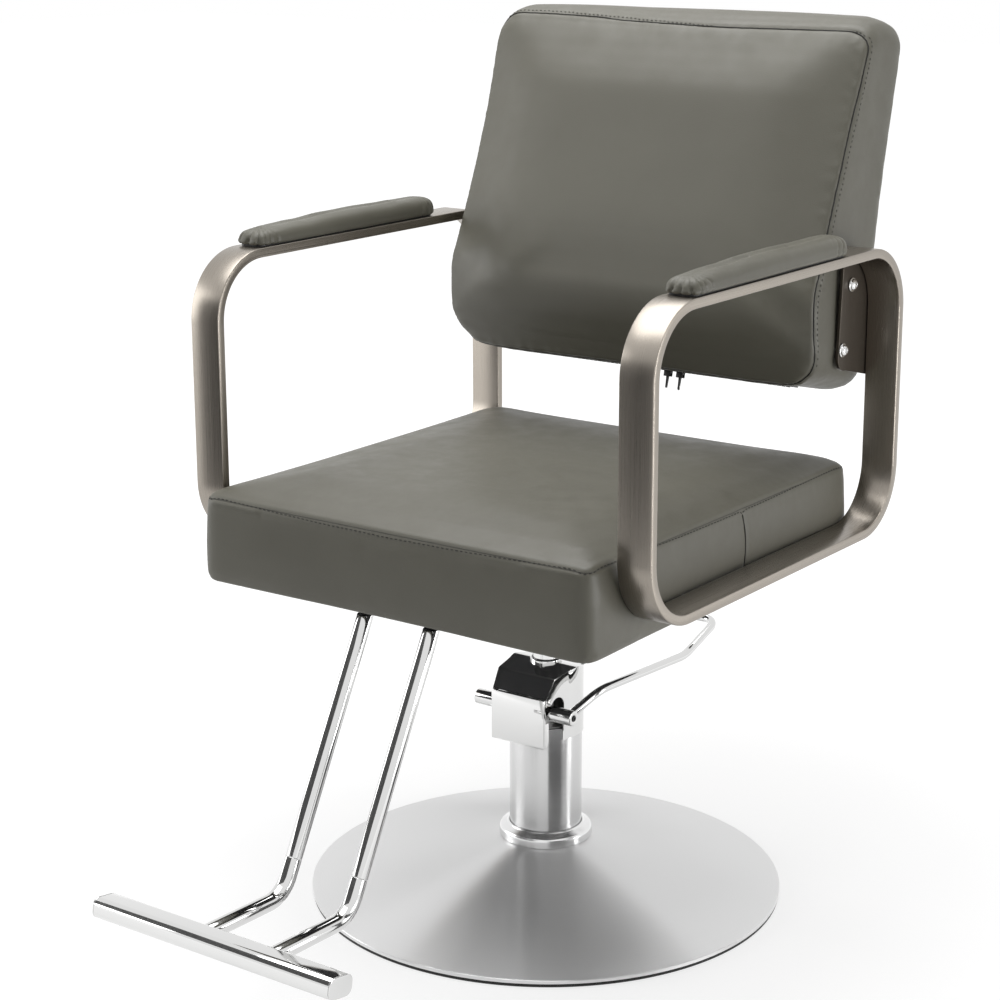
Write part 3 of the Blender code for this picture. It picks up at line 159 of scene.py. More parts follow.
print("material tools ready")

# %% [markdown]
# ## Upholstery leather
# The cover is a coated leather cloth in a warm dark grey. Real grain is a field of tiny rounded cells about a
# millimetre across, so a Voronoi pattern makes the cells and a fine noise breaks them up. Broad, faint clouds of
# tone and gloss keep large panels from looking like plastic.


# %% Leather
def leather_finish(name, dark, light):
    made, tree, shader = new_finish(name, light, 0.0, 0.42, 0.48)
    where = object_space(tree)
    clouds = speckle(tree, where, 7.0, 3.0)
    two_tone(tree, shader, clouds, dark, light)
    gloss(tree, shader, speckle(tree, where, 38.0, 4.0, 0.6), 0.41, 0.53)
    cells = add_node(tree, "ShaderNodeTexVoronoi", {"Vector": where, "Scale": 820.0}, feature="SMOOTH_F1")
    fine = speckle(tree, where, 1500.0, 2.0)
    height = add_node(tree, "ShaderNodeMath", {0: cells.outputs["Distance"], 1: fine}, operation="ADD")
    raised(tree, shader, height.outputs["Value"], 0.16, 0.0004)
    return made


LEATHER = leather_finish("dark_grey_leather", (0.090, 0.086, 0.067), (0.099, 0.095, 0.074))
PANEL_LEATHER = leather_finish("rear_panel_leather", (0.083, 0.079, 0.062), (0.092, 0.088, 0.069))
print("leather made")

# %% [markdown]
# ## Brushed nickel
# The arm bars and their brackets are brushed nickel, with fine scratches along the metal. Scratches in Object
# coordinates would not follow a bend, so on the bars a noise is squeezed across the bar in its own UV map. The flat
# brackets have no bends, and their scratches simply run upwards.


# %% Nickel
def brushed_nickel():
    made, tree, shader = new_finish("brushed_nickel", (0.31, 0.28, 0.245), 1.0, 0.30)
    along = add_node(tree, "ShaderNodeUVMap", uv_map="along_bar")
    grain = add_node(tree, "ShaderNodeMapping", {"Vector": along.outputs["UV"], "Scale": (4.0, 3600.0, 1.0)})
    streak = speckle(tree, grain.outputs["Vector"], 1.0, 4.0, 0.65)
    two_tone(tree, shader, streak, (0.292, 0.264, 0.230), (0.33, 0.299, 0.262))
    gloss(tree, shader, streak, 0.25, 0.33)
    raised(tree, shader, streak, 0.02, 0.0002)
    shader.inputs["Anisotropic"].default_value = 0.45
    lay = add_node(tree, "ShaderNodeTangent", direction_type="UV_MAP", uv_map="along_bar")
    tree.links.new(lay.outputs["Tangent"], shader.inputs["Tangent"])
    return made


def satin_plate():
    """A darker nickel for the flat brackets, brushed upwards."""
    made, tree, shader = new_finish("brushed_bracket", (0.088, 0.077, 0.064), 1.0, 0.36)
    streak = speckle(tree, object_space(tree, (1200.0, 1200.0, 14.0)), 1.0, 3.0)
    two_tone(tree, shader, streak, (0.078, 0.067, 0.055), (0.098, 0.086, 0.073))
    gloss(tree, shader, streak, 0.30, 0.43)
    raised(tree, shader, streak, 0.05, 0.0002)
    return made


NICKEL, BRACKET = brushed_nickel(), satin_plate()
print("nickel made")

# %% [markdown]
# ## Spun, turned and plated steel
# The base is spun, so its scratches are rings, and a radial tangent stretches its highlights into wedges. The column
# is turned, with rings up its height. The footrest and the lever are chrome, nearly a mirror, with only a breath of
# haze. Zinc and satin chrome share one plain recipe, because they differ only in tone and gloss.


# %% Steel finishes
def brushed_round(tree, shader, strength):
    """Stretch highlights across scratches that run in rings round the upright axis."""
    shader.inputs["Anisotropic"].default_value = strength
    shader.inputs["Anisotropic Rotation"].default_value = 0.25
    lay = add_node(tree, "ShaderNodeTangent", direction_type="RADIAL", axis="Z")
    tree.links.new(lay.outputs["Tangent"], shader.inputs["Tangent"])


def spun_stainless():
    made, tree, shader = new_finish("spun_stainless", (0.75, 0.75, 0.745), 0.6, 0.27)
    flat = object_space(tree, (1.0, 1.0, 0.0))
    radius = add_node(tree, "ShaderNodeVectorMath", {0: flat}, operation="LENGTH")
    ring = add_node(tree, "ShaderNodeTexNoise", {"W": radius.outputs["Value"], "Scale": 1500.0, "Detail": 3.0},
                    noise_dimensions="1D").outputs["Fac"]
    wide = speckle(tree, object_space(tree), 9.0, 2.0)
    both = add_node(tree, "ShaderNodeMath", {0: ring, 1: wide}, operation="MULTIPLY")
    two_tone(tree, shader, ring, (0.80, 0.80, 0.80), (0.83, 0.83, 0.83))
    gloss(tree, shader, both.outputs["Value"], 0.28, 0.32, 0.1, 0.45)
    raised(tree, shader, ring, 0.008, 0.0002)
    brushed_round(tree, shader, 0.92)
    return made


def turned_stainless():
    made, tree, shader = new_finish("turned_stainless", (0.60, 0.60, 0.60), 1.0, 0.22)
    ring = speckle(tree, object_space(tree, (6.0, 6.0, 1800.0)), 1.0, 3.0)
    two_tone(tree, shader, ring, (0.60, 0.60, 0.60), (0.63, 0.63, 0.63))
    gloss(tree, shader, ring, 0.20, 0.26)
    raised(tree, shader, ring, 0.008, 0.0002)
    brushed_round(tree, shader, 0.85)
    return made


def bright_chrome():
    made, tree, shader = new_finish("bright_chrome", (0.71, 0.71, 0.705), 1.0, 0.05)
    where = object_space(tree)
    gloss(tree, shader, speckle(tree, where, 26.0, 4.0, 0.65), 0.03, 0.09)
    raised(tree, shader, speckle(tree, where, 60.0, 1.0), 0.02, 0.0006)
    return made


def plain_steel(name, tone, low, high):
    made, tree, shader = new_finish(name, tone, 1.0, 0.4)
    where = object_space(tree)
    gloss(tree, shader, speckle(tree, where, 70.0, 4.0, 0.6), low, high)
    raised(tree, shader, speckle(tree, where, 900.0, 2.0), 0.06, 0.0002)
    return made


SPUN, TURNED, CHROME = spun_stainless(), turned_stainless(), bright_chrome()
SATIN = plain_steel("satin_chrome", (0.80, 0.80, 0.80), 0.17, 0.26)
ZINC = plain_steel("zinc_plated_steel", (0.56, 0.56, 0.55), 0.28, 0.45)
print("steel finishes made")

# %% [markdown]
# ## Rubber, board, paint and thread
# The quiet finishes still need their own grain: moulded rubber is a dull black with a faint pebble, plywood shows
# layers, powder paint has an orange peel, and thread is a matt line.


# %% Quiet finishes
def dull_finish(name, dark, light, roughness, scale, strength):
    made, tree, shader = new_finish(name, light, 0.0, roughness, 0.35)
    grain = speckle(tree, object_space(tree), scale, 3.0)
    two_tone(tree, shader, grain, dark, light)
    gloss(tree, shader, grain, roughness - 0.06, roughness + 0.08)
    raised(tree, shader, grain, strength, 0.0004)
    return made


def plywood_finish():
    made, tree, shader = new_finish("plywood_board", (0.42, 0.28, 0.16), 0.0, 0.62, 0.3)
    fibre = speckle(tree, object_space(tree, (4.0, 160.0, 60.0)), 1.0, 5.0, 0.65)
    two_tone(tree, shader, fibre, (0.30, 0.185, 0.095), (0.52, 0.36, 0.21))
    raised(tree, shader, fibre, 0.12, 0.0005)
    return made


RUBBER = dull_finish("black_rubber", (0.010, 0.010, 0.010), (0.022, 0.022, 0.021), 0.55, 420.0, 0.2)
BLACK_PAINT = dull_finish("black_powder_paint", (0.014, 0.014, 0.014), (0.026, 0.026, 0.026), 0.44, 700.0, 0.25)
DUST_CLOTH = dull_finish("black_dust_cloth", (0.010, 0.010, 0.011), (0.030, 0.030, 0.031), 0.85, 1100.0, 0.5)
STITCH = dull_finish("grey_thread", (0.050, 0.048, 0.041), (0.085, 0.081, 0.070), 0.7, 2400.0, 0.4)
THREAD = dull_finish("dark_thread", (0.016, 0.015, 0.013), (0.034, 0.032, 0.028), 0.7, 2400.0, 0.4)
# Painted shade: the seam lines are coloured near-black to stand for the shadow in the seam grooves.
SEAM_SHADE_LINE = dull_finish("seam_shadow", (0.008, 0.008, 0.007), (0.018, 0.017, 0.015), 0.65, 1500.0, 0.3)
ZIP_BLACK = dull_finish("black_zip", (0.012, 0.012, 0.012), (0.028, 0.028, 0.028), 0.5, 1300.0, 0.4)
PLYWOOD = plywood_finish()
print("quiet finishes made")

# %% [markdown]
# ## Bringing a shape into the scene
# Each piece is a bmesh that becomes an object at the origin, with its place in its mesh. Smooth shading makes facets
# look round, and edges sharper than a set angle stay crisp. Then the piece rides on its body, and stands for the
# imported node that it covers.


# %% Piece tools
def mesh_of(name, shape):
    """A mesh from a bmesh, which is then freed."""
    mesh = bpy.data.meshes.new(name)
    shape.to_mesh(mesh)
    shape.free()
    return mesh


def piece(name, shape, material, body, covers=(), sharp=38.0):
    mesh = mesh_of(name, shape)
    mesh.shade_smooth()
    mesh.set_sharp_from_angle(angle=math.radians(sharp))
    mesh.materials.append(material)
    made = linked(name, mesh)
    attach(made, body)
    if covers:
        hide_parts(*covers)
    return made


def repainted(finish, *names):
    """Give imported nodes, which stay as they are, a finish."""
    for name in names:
        nodes[name].data.materials.clear()
        nodes[name].data.materials.append(finish)


def flat_walls(made):
    """Let the large faces of a sheet set its shading, so that they look flat beside rounded edges."""
    made.modifiers.new("flat_walls", "WEIGHTED_NORMAL").keep_sharp = True


print("piece tools ready")

# %% [markdown]
# ## Shaping with bmesh
# Most of the metal is turned, bent or drawn, and bmesh has an operator for each: spin, extrude and bevel. These
# helpers give the operators the settings that this chair needs, so that a piece below takes only a few lines.


# %% Shape tools
def face_out(shape):
    bmesh.ops.remove_doubles(shape, verts=shape.verts, dist=1e-6)
    bmesh.ops.recalc_face_normals(shape, faces=shape.faces)
    return shape


def soften(shape, width, angle=35.0, segments=3):
    """Round every edge that is sharper than an angle."""
    edges = [e for e in shape.edges if len(e.link_faces) == 2 and e.calc_face_angle(0) > math.radians(angle)]
    bmesh.ops.bevel(shape, geom=edges, offset=width, offset_type="OFFSET", segments=segments, profile=0.5,
                    affect="EDGES", clamp_overlap=True, material=-1)
    return shape


def turned(profile, steps=96):
    """A profile of (radius, height) points spun round the upright axis."""
    shape = bmesh.new()
    line = [shape.verts.new((radius, 0.0, height)) for radius, height in profile]
    edges = [shape.edges.new(pair) for pair in zip(line, line[1:])]
    if (line[0].co - line[-1].co).length > 1e-7 and min(line[0].co.x, line[-1].co.x) > 1e-6:
        edges.append(shape.edges.new((line[-1], line[0])))
    bmesh.ops.spin(shape, geom=line + edges, cent=(0, 0, 0), axis=(0, 0, 1), angle=2 * math.pi, steps=steps,
                   use_merge=True, use_duplicate=False)
    return face_out(shape)


def copied(node, width):
    """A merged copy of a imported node, with its edges broken."""
    shape = bmesh.new()
    shape.from_mesh(nodes[node].data)
    bmesh.ops.remove_doubles(shape, verts=shape.verts, dist=2e-6)
    bmesh.ops.dissolve_limit(shape, angle_limit=math.radians(0.5), verts=shape.verts, edges=shape.edges)
    return soften(shape, width, segments=2) if width else shape


def only(kind, geom):
    """The points or the edges among what an operator made."""
    return [item for item in geom if isinstance(item, kind)]


def pushed(shape, edges, move):
    """Draw edges out into a wall, and return its far edges."""
    grown = bmesh.ops.extrude_edge_only(shape, edges=edges)["geom"]
    bmesh.ops.translate(shape, vec=move, verts=only(bmesh.types.BMVert, grown))
    return only(bmesh.types.BMEdge, grown)


def drawn_out(shape, faces, move):
    """Draw flat faces out into a solid."""
    grown = bmesh.ops.extrude_face_region(shape, geom=faces)["geom"]
    bmesh.ops.translate(shape, vec=move, verts=only(bmesh.types.BMVert, grown))
    return shape


def laid(shape, angle, axis, place=(0, 0, 0)):
    """Turn a shape about the origin, then move it to its place."""
    bmesh.ops.rotate(shape, cent=(0, 0, 0), matrix=Matrix.Rotation(angle, 3, axis), verts=shape.verts)
    bmesh.ops.translate(shape, vec=place, verts=shape.verts)
    return shape


def bent_tube(points, bends, radius, sides=36, steps=14):
    """A circle pushed along each straight run and spun round each bend of a line of points."""
    shape = bmesh.new()
    points = [Vector(p) for p in points]
    runs = [(b - a).normalized() for a, b in zip(points, points[1:])]
    aim = Vector((0, 0, 1)).rotation_difference(runs[0]).to_matrix().to_4x4()
    bmesh.ops.create_circle(shape, cap_ends=True, radius=radius, segments=sides,
                            matrix=Matrix.Translation(points[0]) @ aim)
    loop = list(shape.edges)
    here = points[0]
    for corner, before, after, bend in zip(points[1:-1], runs, runs[1:], bends):
        angle = before.angle(after)
        reach = bend * math.tan(angle / 2)
        loop = pushed(shape, loop, corner - before * reach - here)
        inward = (after - before * before.dot(after)).normalized()
        spun = bmesh.ops.spin(shape, geom=loop, cent=corner - before * reach + inward * bend,
                              axis=before.cross(after).normalized(), angle=angle, steps=steps)["geom_last"]
        loop = only(bmesh.types.BMEdge, spun)
        here = corner + after * reach
    bmesh.ops.contextual_create(shape, geom=pushed(shape, loop, points[-1] - here))
    return face_out(shape)


print("shape tools ready")

# %% [markdown]
# ## The base
# The base is a steel plate under a spun cover, with a rubber ring round its edge. The cover is a thin sheet: its
# outer curve falls from the collar to the rim and is spun in one turn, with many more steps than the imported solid,
# so its edge is a true circle.

# %% Base cover, edge ring and collar
BASE_RADIUS, RIM_LOW, RIM_HIGH, DOME_TOP = 0.275, 0.0048, 0.0090, 0.0635
LAND_RADIUS, SHEET = 0.05625, 0.0015
COLUMN_RADIUS, COLLAR_RADIUS = 0.042, 0.05425


def clamped(value, low=0.0, high=1.0):
    return min(max(value, low), high)


def dome_height(radius):
    share = clamped((BASE_RADIUS - radius) / (BASE_RADIUS - LAND_RADIUS))
    return RIM_HIGH + (DOME_TOP - RIM_HIGH) * share ** 1.15


sweep = [LAND_RADIUS + (BASE_RADIUS - 0.0012 - LAND_RADIUS) * i / 40 for i in range(41)]
outer = [(COLUMN_RADIUS + 0.0003, DOME_TOP)] + [(radius, dome_height(radius)) for radius in sweep]
rim = [(BASE_RADIUS - 0.0004, RIM_HIGH - 0.0001), (BASE_RADIUS, RIM_HIGH - 0.0006), (BASE_RADIUS, RIM_LOW)]
inner = [(BASE_RADIUS - 0.003, RIM_LOW)] + [(r, z - SHEET) for r, z in reversed(outer[:-1])]
piece("spun_cover", turned(outer + rim + inner, 192), SPUN, "base", ["base_cover"])

edge = [(0.263, 0.0), (0.2725, 0.0), (0.2742, 0.0010), (0.2745, 0.0036), (0.2738, 0.0045), (0.263, 0.0045)]
piece("edge_ring", soften(turned(edge, 192), 0.0004, 20), RUBBER, "base", ["rubber_edge_ring"])

collar = [(0.0423, 0.0638), (COLLAR_RADIUS, 0.0638), (COLLAR_RADIUS, 0.0732), (0.0525, 0.0759), (0.0452, 0.0788),
          (0.0441, 0.0806), (0.0423, 0.0806)]
piece("chrome_collar", soften(turned(collar, 128), 0.0012, 12, 4), SATIN, "base", ["column_collar"])
print("base made")

# %% [markdown]
# ## Column, piston and hub
# The column is a polished tube round the pump, and the piston is a hard chrome bar that slides in it. Turned parts
# have small broken edges that catch the light, so each spun profile gets a bevel on its sharp rings.

# %% Column, piston, wiper ring and hub
column = [(0.040, 0.0166), (COLUMN_RADIUS, 0.0166), (COLUMN_RADIUS, 0.206), (0.040, 0.206)]
piece("column_sleeve", soften(turned(column, 128), 0.0005), TURNED, "base", ["column_tube"])
rod_low, rod_high = (corner.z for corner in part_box("piston_rod"))
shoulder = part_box("thrust_washer")[0].z - 0.0003
piston = [(0.0, rod_low), (0.0155, rod_low), (0.0155, shoulder), (0.0122, shoulder), (0.0122, rod_high),
          (0.0, rod_high)]
piece("piston_bar", soften(turned(piston, 96), 0.0006), CHROME, "piston", ["piston_rod"])
wiper = [(0.0161, 0.2736), (0.0184, 0.2736), (0.0184, 0.2802), (0.0172, 0.2817), (0.0161, 0.2817)]
piece("wiper_ring", soften(turned(wiper, 96), 0.0004, 20), CHROME, "base", ["piston_wiper_ring"])
piece("seat_hub", copied("swivel_hub", 0.0008), BLACK_PAINT, "seat", ["swivel_hub"], 30)
repainted(BLACK_PAINT, "base_plate", "seat_mount_plate")
repainted(ZINC, "pump_cylinder", "gland_nut", "lever_yoke", "piston_head", "thrust_washer", "pump_plunger",
          "pump_rocker", "hub_bolt_1", "hub_bolt_2", "hub_bolt_3", "hub_bolt_4")
spring = piece("return_spring", copied("plunger_spring", 0), ZINC, "base", ["plunger_spring"], 60)
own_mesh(spring)
print("column made")

# %% [markdown]
# ## The pump hood
# The hood is one sheet of chromed steel, bent round the column, with a roof that falls to the front plate. It starts
# as a bent strip at the front, two walls and a roof, which is pushed back row by row until its sides meet behind. A
# Solidify modifier gives the sheet its thickness, and Booleans open the slots for the lever shaft and the piston.

# %% Hood and front plate
HOOD_RADIUS, HOOD_FRONT, HOOD_LOW, HOOD_BROW, HOOD_TOP = 0.0438, 0.0527, 0.194, 0.250, 0.2773
STEEP, GENTLE, FALL = 1.6, 0.155, 0.21
KNEE_BACK, KNEE_RISE = 0.0133, 0.0212
FRONT_HALF, WALL_HALF, WALL_END = 0.03775, 0.0417, -0.0135


def roof_height(y):
    """The roof climbs steeply from the front plate, then gently to the piston, and falls behind it."""
    back = y + HOOD_FRONT
    height = HOOD_BROW + STEEP * back
    gentle = HOOD_BROW + KNEE_RISE + GENTLE * (back - KNEE_BACK)
    for slope, blend in ((gentle, 0.0022), (HOOD_TOP - FALL * y, 0.0012)):
        height = min(height, slope) - max(0.0, blend - abs(height - slope)) ** 2 / (4 * blend)
    return height


def hood_half(y):
    """Half of the hood's width: it narrows to the front, and follows the column behind."""
    if y < WALL_END:
        return FRONT_HALF + (WALL_HALF - FRONT_HALF) * (y + HOOD_FRONT) / (HOOD_FRONT + WALL_END)
    return math.sqrt(max(HOOD_RADIUS ** 2 - y * y, 0.0))


def mesh_after(made):
    """The mesh of an object with its modifiers worked out."""
    bpy.context.view_layer.update()
    return bpy.data.meshes.new_from_object(made.evaluated_get(bpy.context.evaluated_depsgraph_get()))


def taken_off(made):
    """The worked-out mesh of a helper object, which then goes."""
    mesh = mesh_after(made)
    bpy.data.objects.remove(made)
    return mesh


def carve(made, cutter):
    """Remove a solid from a finished piece for good."""
    tool = linked("cutter", mesh_of("cutter", face_out(cutter)))
    cut = made.modifiers.new("cut", "BOOLEAN")
    cut.operation, cut.solver, cut.object = "DIFFERENCE", "EXACT", tool
    carved = mesh_after(made)
    made.modifiers.clear()
    made.data = carved
    bpy.data.objects.remove(tool)
    carved.shade_smooth()
    carved.set_sharp_from_angle(angle=math.radians(38))


def hood_shape():
    """A bent strip of two walls and a roof, pushed back row by row until its sides meet."""
    shape = bmesh.new()
    rows = [-HOOD_FRONT + 0.0008 * i for i in range(49)]
    rows += [HOOD_RADIUS * math.sin(math.radians(turn)) for turn in range(-16, 91, 4)]
    half, top = hood_half(rows[0]), roof_height(rows[0])
    line = [shape.verts.new(spot) for spot in ((-half, rows[0], HOOD_LOW), (-half, rows[0], top),
                                               (half, rows[0], top), (half, rows[0], HOOD_LOW))]
    edges = [shape.edges.new(pair) for pair in zip(line, line[1:])]
    for y in rows[1:]:
        grown = bmesh.ops.extrude_edge_only(shape, edges=edges)["geom"]
        edges = only(bmesh.types.BMEdge, grown)
        for vert in only(bmesh.types.BMVert, grown):
            high = vert.co.z > HOOD_LOW + 0.02
            vert.co = (math.copysign(hood_half(y), vert.co.x), y, roof_height(y) if high else HOOD_LOW)
    return soften(face_out(shape), 0.0006, 50.0)


def slot_cutter():
    shape = bmesh.new()
    outline = [(-0.0727, 0.174), (-0.0225, 0.174)]
    outline += [(-0.034 + 0.0115 * math.cos(math.radians(a)), 0.237 + 0.0115 * math.sin(math.radians(a)))
                for a in range(0, 158, 6)]
    outline.append((-0.0727, 0.2415))
    side = shape.faces.new([shape.verts.new((-0.084, y, z)) for y, z in outline])
    return drawn_out(shape, [side], (0.168, 0, 0))


hood = piece("hood_sheet", hood_shape(), CHROME, "base", ["pump_hood"])
sheet = hood.modifiers.new("sheet", "SOLIDIFY")
sheet.thickness, sheet.offset = 0.0015, -1.0
carve(hood, slot_cutter())
bore = bmesh.new()
bmesh.ops.create_cone(bore, cap_ends=True, segments=64, radius1=0.0186, radius2=0.0186, depth=0.04,
                      matrix=Matrix.Translation((0, 0, HOOD_TOP)))
carve(hood, bore)
flat_walls(hood)
piece("front_plate", copied("hood_front_plate", 0.0005), CHROME, "base", ["hood_front_plate"])
print("hood made,", len(hood.data.polygons), "faces")

# %% [markdown]
# ## The lever
# A cross shaft, a bent foot rod and a socket screw that holds the rod. The shaft is a spun profile laid on its side.
# The rod is a circle that is pushed along each straight and spun round each bend, which keeps it round everywhere.

# %% Lever
SHAFT_Y, SHAFT_Z, SHAFT_HALF, SHAFT_RADIUS, ROD_RADIUS = -0.041, 0.231, 0.067, 0.009, 0.005
shaft = [(0.0, -SHAFT_HALF), (SHAFT_RADIUS, -SHAFT_HALF), (SHAFT_RADIUS, SHAFT_HALF), (0.0033, SHAFT_HALF),
         (0.0033, 0.0642), (0.0, 0.0642)]
piece("cross_shaft", laid(soften(turned(shaft, 72), 0.0013), math.pi / 2, "Y", (0, SHAFT_Y, SHAFT_Z)), CHROME,
      "lever", ["lever_shaft"])

rod_start = Vector((SHAFT_HALF - 0.0085, SHAFT_Y, SHAFT_Z))
rod_line = [rod_start] + [rod_start + Vector(step) for step in
                          ((0.015, 0.043, 0.0235), (0.026, 0.209, 0.021), (0.027, 0.281, 0.046))]
rod_line.append(rod_line[-1] - Vector((0.137, 0, 0)))
rod_line[0] = rod_start - (rod_line[1] - rod_start).normalized() * 0.005
piece("foot_rod", soften(bent_tube(rod_line, (0.060, 0.060, 0.016), ROD_RADIUS, 28), 0.0014, 50), CHROME, "lever",
      ["lever_rod"])


def socket_screw(radius, depth, socket):
    """A round face with a six-sided socket, looking up, its face at zero."""
    shape = bmesh.new()
    outer = bmesh.ops.create_circle(shape, radius=radius, segments=24)["verts"]
    inner = bmesh.ops.create_circle(shape, radius=socket, segments=6)["verts"]
    rims = [[e for e in shape.edges if e.verts[0] in group] for group in (outer, inner)]
    bmesh.ops.bridge_loops(shape, edges=rims[0] + rims[1])
    for rim, drop in ((rims[0], depth), (rims[1], 0.6 * depth)):
        bmesh.ops.contextual_create(shape, geom=pushed(shape, rim, (0, 0, -drop)))
    return face_out(shape)


grub = laid(socket_screw(0.003, 0.003, 0.0016), math.pi / 2, "Y", (0.0678, SHAFT_Y, SHAFT_Z))
piece("socket_screw", grub, BLACK_PAINT, "lever", ["lever_grub_screw"])
print("lever made")

# %% [markdown]
# ## The footrest
# Two chrome tubes slope forward from a plate under the seat, turn level, and carry a cross bar with pressed-in end
# caps. Where tube and elbow meet there is a fine joint line, so they stay separate pieces with broken edges.

# %% Footrest
FOOT_SLOPE, FOOT_RISE = math.radians(28.2), math.radians(1.5)
TUBE_RADIUS, TUBE_BEND, TUBE_SPARE = 0.009, 0.036, 0.02
JOINT_HEIGHT, JOINT_GAP, CORNER_HEIGHT, TUBE_END = 0.161, 0.00015, 0.1245, -0.54395
BAR_Y, BAR_BACK, BAR_LIFT, BAR_DEPTH, BAR_HEIGHT = -0.5615, -0.54425, 0.0115, 0.0345, 0.022
BAR_HALF, BAR_ROUND, BAR_LEAN, CAP_THICK = 0.156, 0.0085, math.radians(-9), 0.0015
foot_down = Vector((0, -math.sin(FOOT_SLOPE), -math.cos(FOOT_SLOPE)))
foot_run = Vector((0, -math.cos(FOOT_RISE), math.sin(FOOT_RISE)))


def trimmed(shape, point, outward):
    """Cut a shape off at a plane and close the cut."""
    cut = bmesh.ops.bisect_plane(shape, geom=shape.verts[:] + shape.edges[:] + shape.faces[:], plane_co=point,
                                 plane_no=outward, clear_outer=True)["geom_cut"]
    bmesh.ops.contextual_create(shape, geom=only(bmesh.types.BMEdge, cut))
    return shape


for name, side in (("left", 1), ("right", -1)):
    top = Vector((side * 0.044, -0.2715, 0.3954))
    joint = top + foot_down * ((top.z - JOINT_HEIGHT) / -foot_down.z)
    corner = top + foot_down * ((top.z - CORNER_HEIGHT) / -foot_down.z)
    far = corner + foot_run * ((TUBE_END - corner.y) / foot_run.y)
    upper = bent_tube((top - foot_down * TUBE_SPARE, joint - foot_down * JOINT_GAP), (), TUBE_RADIUS)
    piece("rest_tube_" + name, soften(trimmed(upper, top, (0, 0, 1)), 0.0005, 50), CHROME, "seat",
          ["footrest_tube_" + name])
    lower = bent_tube((joint + foot_down * JOINT_GAP, corner, far + foot_run * TUBE_SPARE), (TUBE_BEND,), TUBE_RADIUS,
                      steps=24)
    piece("rest_elbow_" + name, soften(trimmed(lower, far, (0, -1, 0)), 0.0005, 50), CHROME, "seat",
          ["footrest_elbow_" + name])
bar_z = (corner + foot_run * ((BAR_BACK - corner.y) / foot_run.y)).z + BAR_LIFT


def rounded_plate(width, depth, radius, segments):
    """A flat oblong with round corners."""
    shape = bmesh.new()
    bmesh.ops.create_grid(shape, x_segments=1, y_segments=1, size=0.5)
    bmesh.ops.scale(shape, vec=(width, depth, 1), verts=shape.verts)
    bmesh.ops.bevel(shape, geom=shape.verts[:], offset=radius, offset_type="OFFSET", segments=segments, profile=0.5,
                    affect="VERTICES", material=-1)
    return shape


def bar_slice(x, length):
    """A slice of the cross bar: a rounded oblong, drawn out along X."""
    shape = rounded_plate(BAR_HEIGHT, BAR_DEPTH, BAR_ROUND, 10)
    laid(drawn_out(shape, shape.faces[:], (0, 0, length)), math.pi / 2, "Y")
    return face_out(laid(shape, BAR_LEAN, "X", (x, BAR_Y, bar_z)))


piece("cross_bar", soften(bar_slice(-BAR_HALF + 0.0018, 2 * BAR_HALF - 0.0036), 0.0003, 60), CHROME, "seat",
      ["footrest_bar"])
for name, start in (("left", BAR_HALF - CAP_THICK), ("right", -BAR_HALF)):
    piece("bar_cap_" + name, soften(bar_slice(start, CAP_THICK), 0.0005, 60), CHROME, "seat", ["footrest_cap_" + name])
piece("rest_plate", copied("footrest_plate", 0.0005), BLACK_PAINT, "seat", ["footrest_plate"])
print("footrest made, bar at height", round(bar_z, 4))

# %% [markdown]
# ## The arm loops
# Each arm is one flat bar bent into a rounded oblong. A rectangle gets round corners from a vertex bevel, an inset
# turns it into a frame as thick as the bar, and an extrusion gives the bar its width. The UV map runs along the bar,
# so that the brushing follows every bend.

# %% Arm loops
BAR_INNER, BAR_WIDE, BAR_THICK, LOOP_RADIUS = 0.2595, 0.040, 0.0107, 0.075
LOOP_Y, LOOP_Z = (-0.2531, 0.2745), (0.4239, 0.7538)
loop_mid = ((LOOP_Y[0] + LOOP_Y[1]) / 2, (LOOP_Z[0] + LOOP_Z[1]) / 2)
core_y = (LOOP_Y[1] - LOOP_Y[0]) / 2 - LOOP_RADIUS
core_z = (LOOP_Z[1] - LOOP_Z[0]) / 2 - LOOP_RADIUS
BEND = LOOP_RADIUS - BAR_THICK / 2
loop_length = 4 * core_y + 4 * core_z + 2 * math.pi * BEND


def along_loop(y, z):
    """How far round the loop a point is, and how deep in the bar."""
    dy, dz = y - loop_mid[0], z - loop_mid[1]
    near_y, near_z = clamped(dy, -core_y, core_y), clamped(dz, -core_z, core_z)
    angle = (math.atan2(dz - near_z, dy - near_y) + math.pi / 2 + 1e-4) % (2 * math.pi)
    travel = [near_y + core_y, 2 * core_y + near_z + core_z, 3 * core_y + 2 * core_z - near_y,
              4 * core_y + 3 * core_z - near_z][min(int(angle / (math.pi / 2)), 3)]
    return travel + BEND * angle, math.hypot(dy - near_y, dz - near_z)


def loop_bar(side):
    shape = rounded_plate(LOOP_Z[1] - LOOP_Z[0], LOOP_Y[1] - LOOP_Y[0], LOOP_RADIUS, 24)
    window = shape.faces[:]
    bmesh.ops.inset_region(shape, faces=window, thickness=BAR_THICK, use_even_offset=True, use_boundary=True)
    bmesh.ops.delete(shape, geom=window, context="FACES")
    drawn_out(shape, shape.faces[:], (0, 0, BAR_WIDE))
    start = BAR_INNER if side > 0 else -BAR_INNER - BAR_WIDE
    soften(face_out(laid(shape, math.pi / 2, "Y", (start, *loop_mid))), 0.0013, 60)
    runs = [e for e in shape.edges if e.calc_length() > 0.1]
    bmesh.ops.subdivide_edges(shape, edges=runs, cuts=6, use_grid_fill=True)
    lay = shape.loops.layers.uv.new("along_bar")
    for face in shape.faces:
        spots = [along_loop(loop.vert.co.y, loop.vert.co.z) for loop in face.loops]
        wraps = max(s for s, _ in spots) - min(s for s, _ in spots) > loop_length / 2
        for loop, (travel, depth) in zip(face.loops, spots):
            travel += loop_length if wraps and travel < loop_length / 2 else 0.0
            loop[lay].uv = (travel, loop.vert.co.x + depth)
    return shape


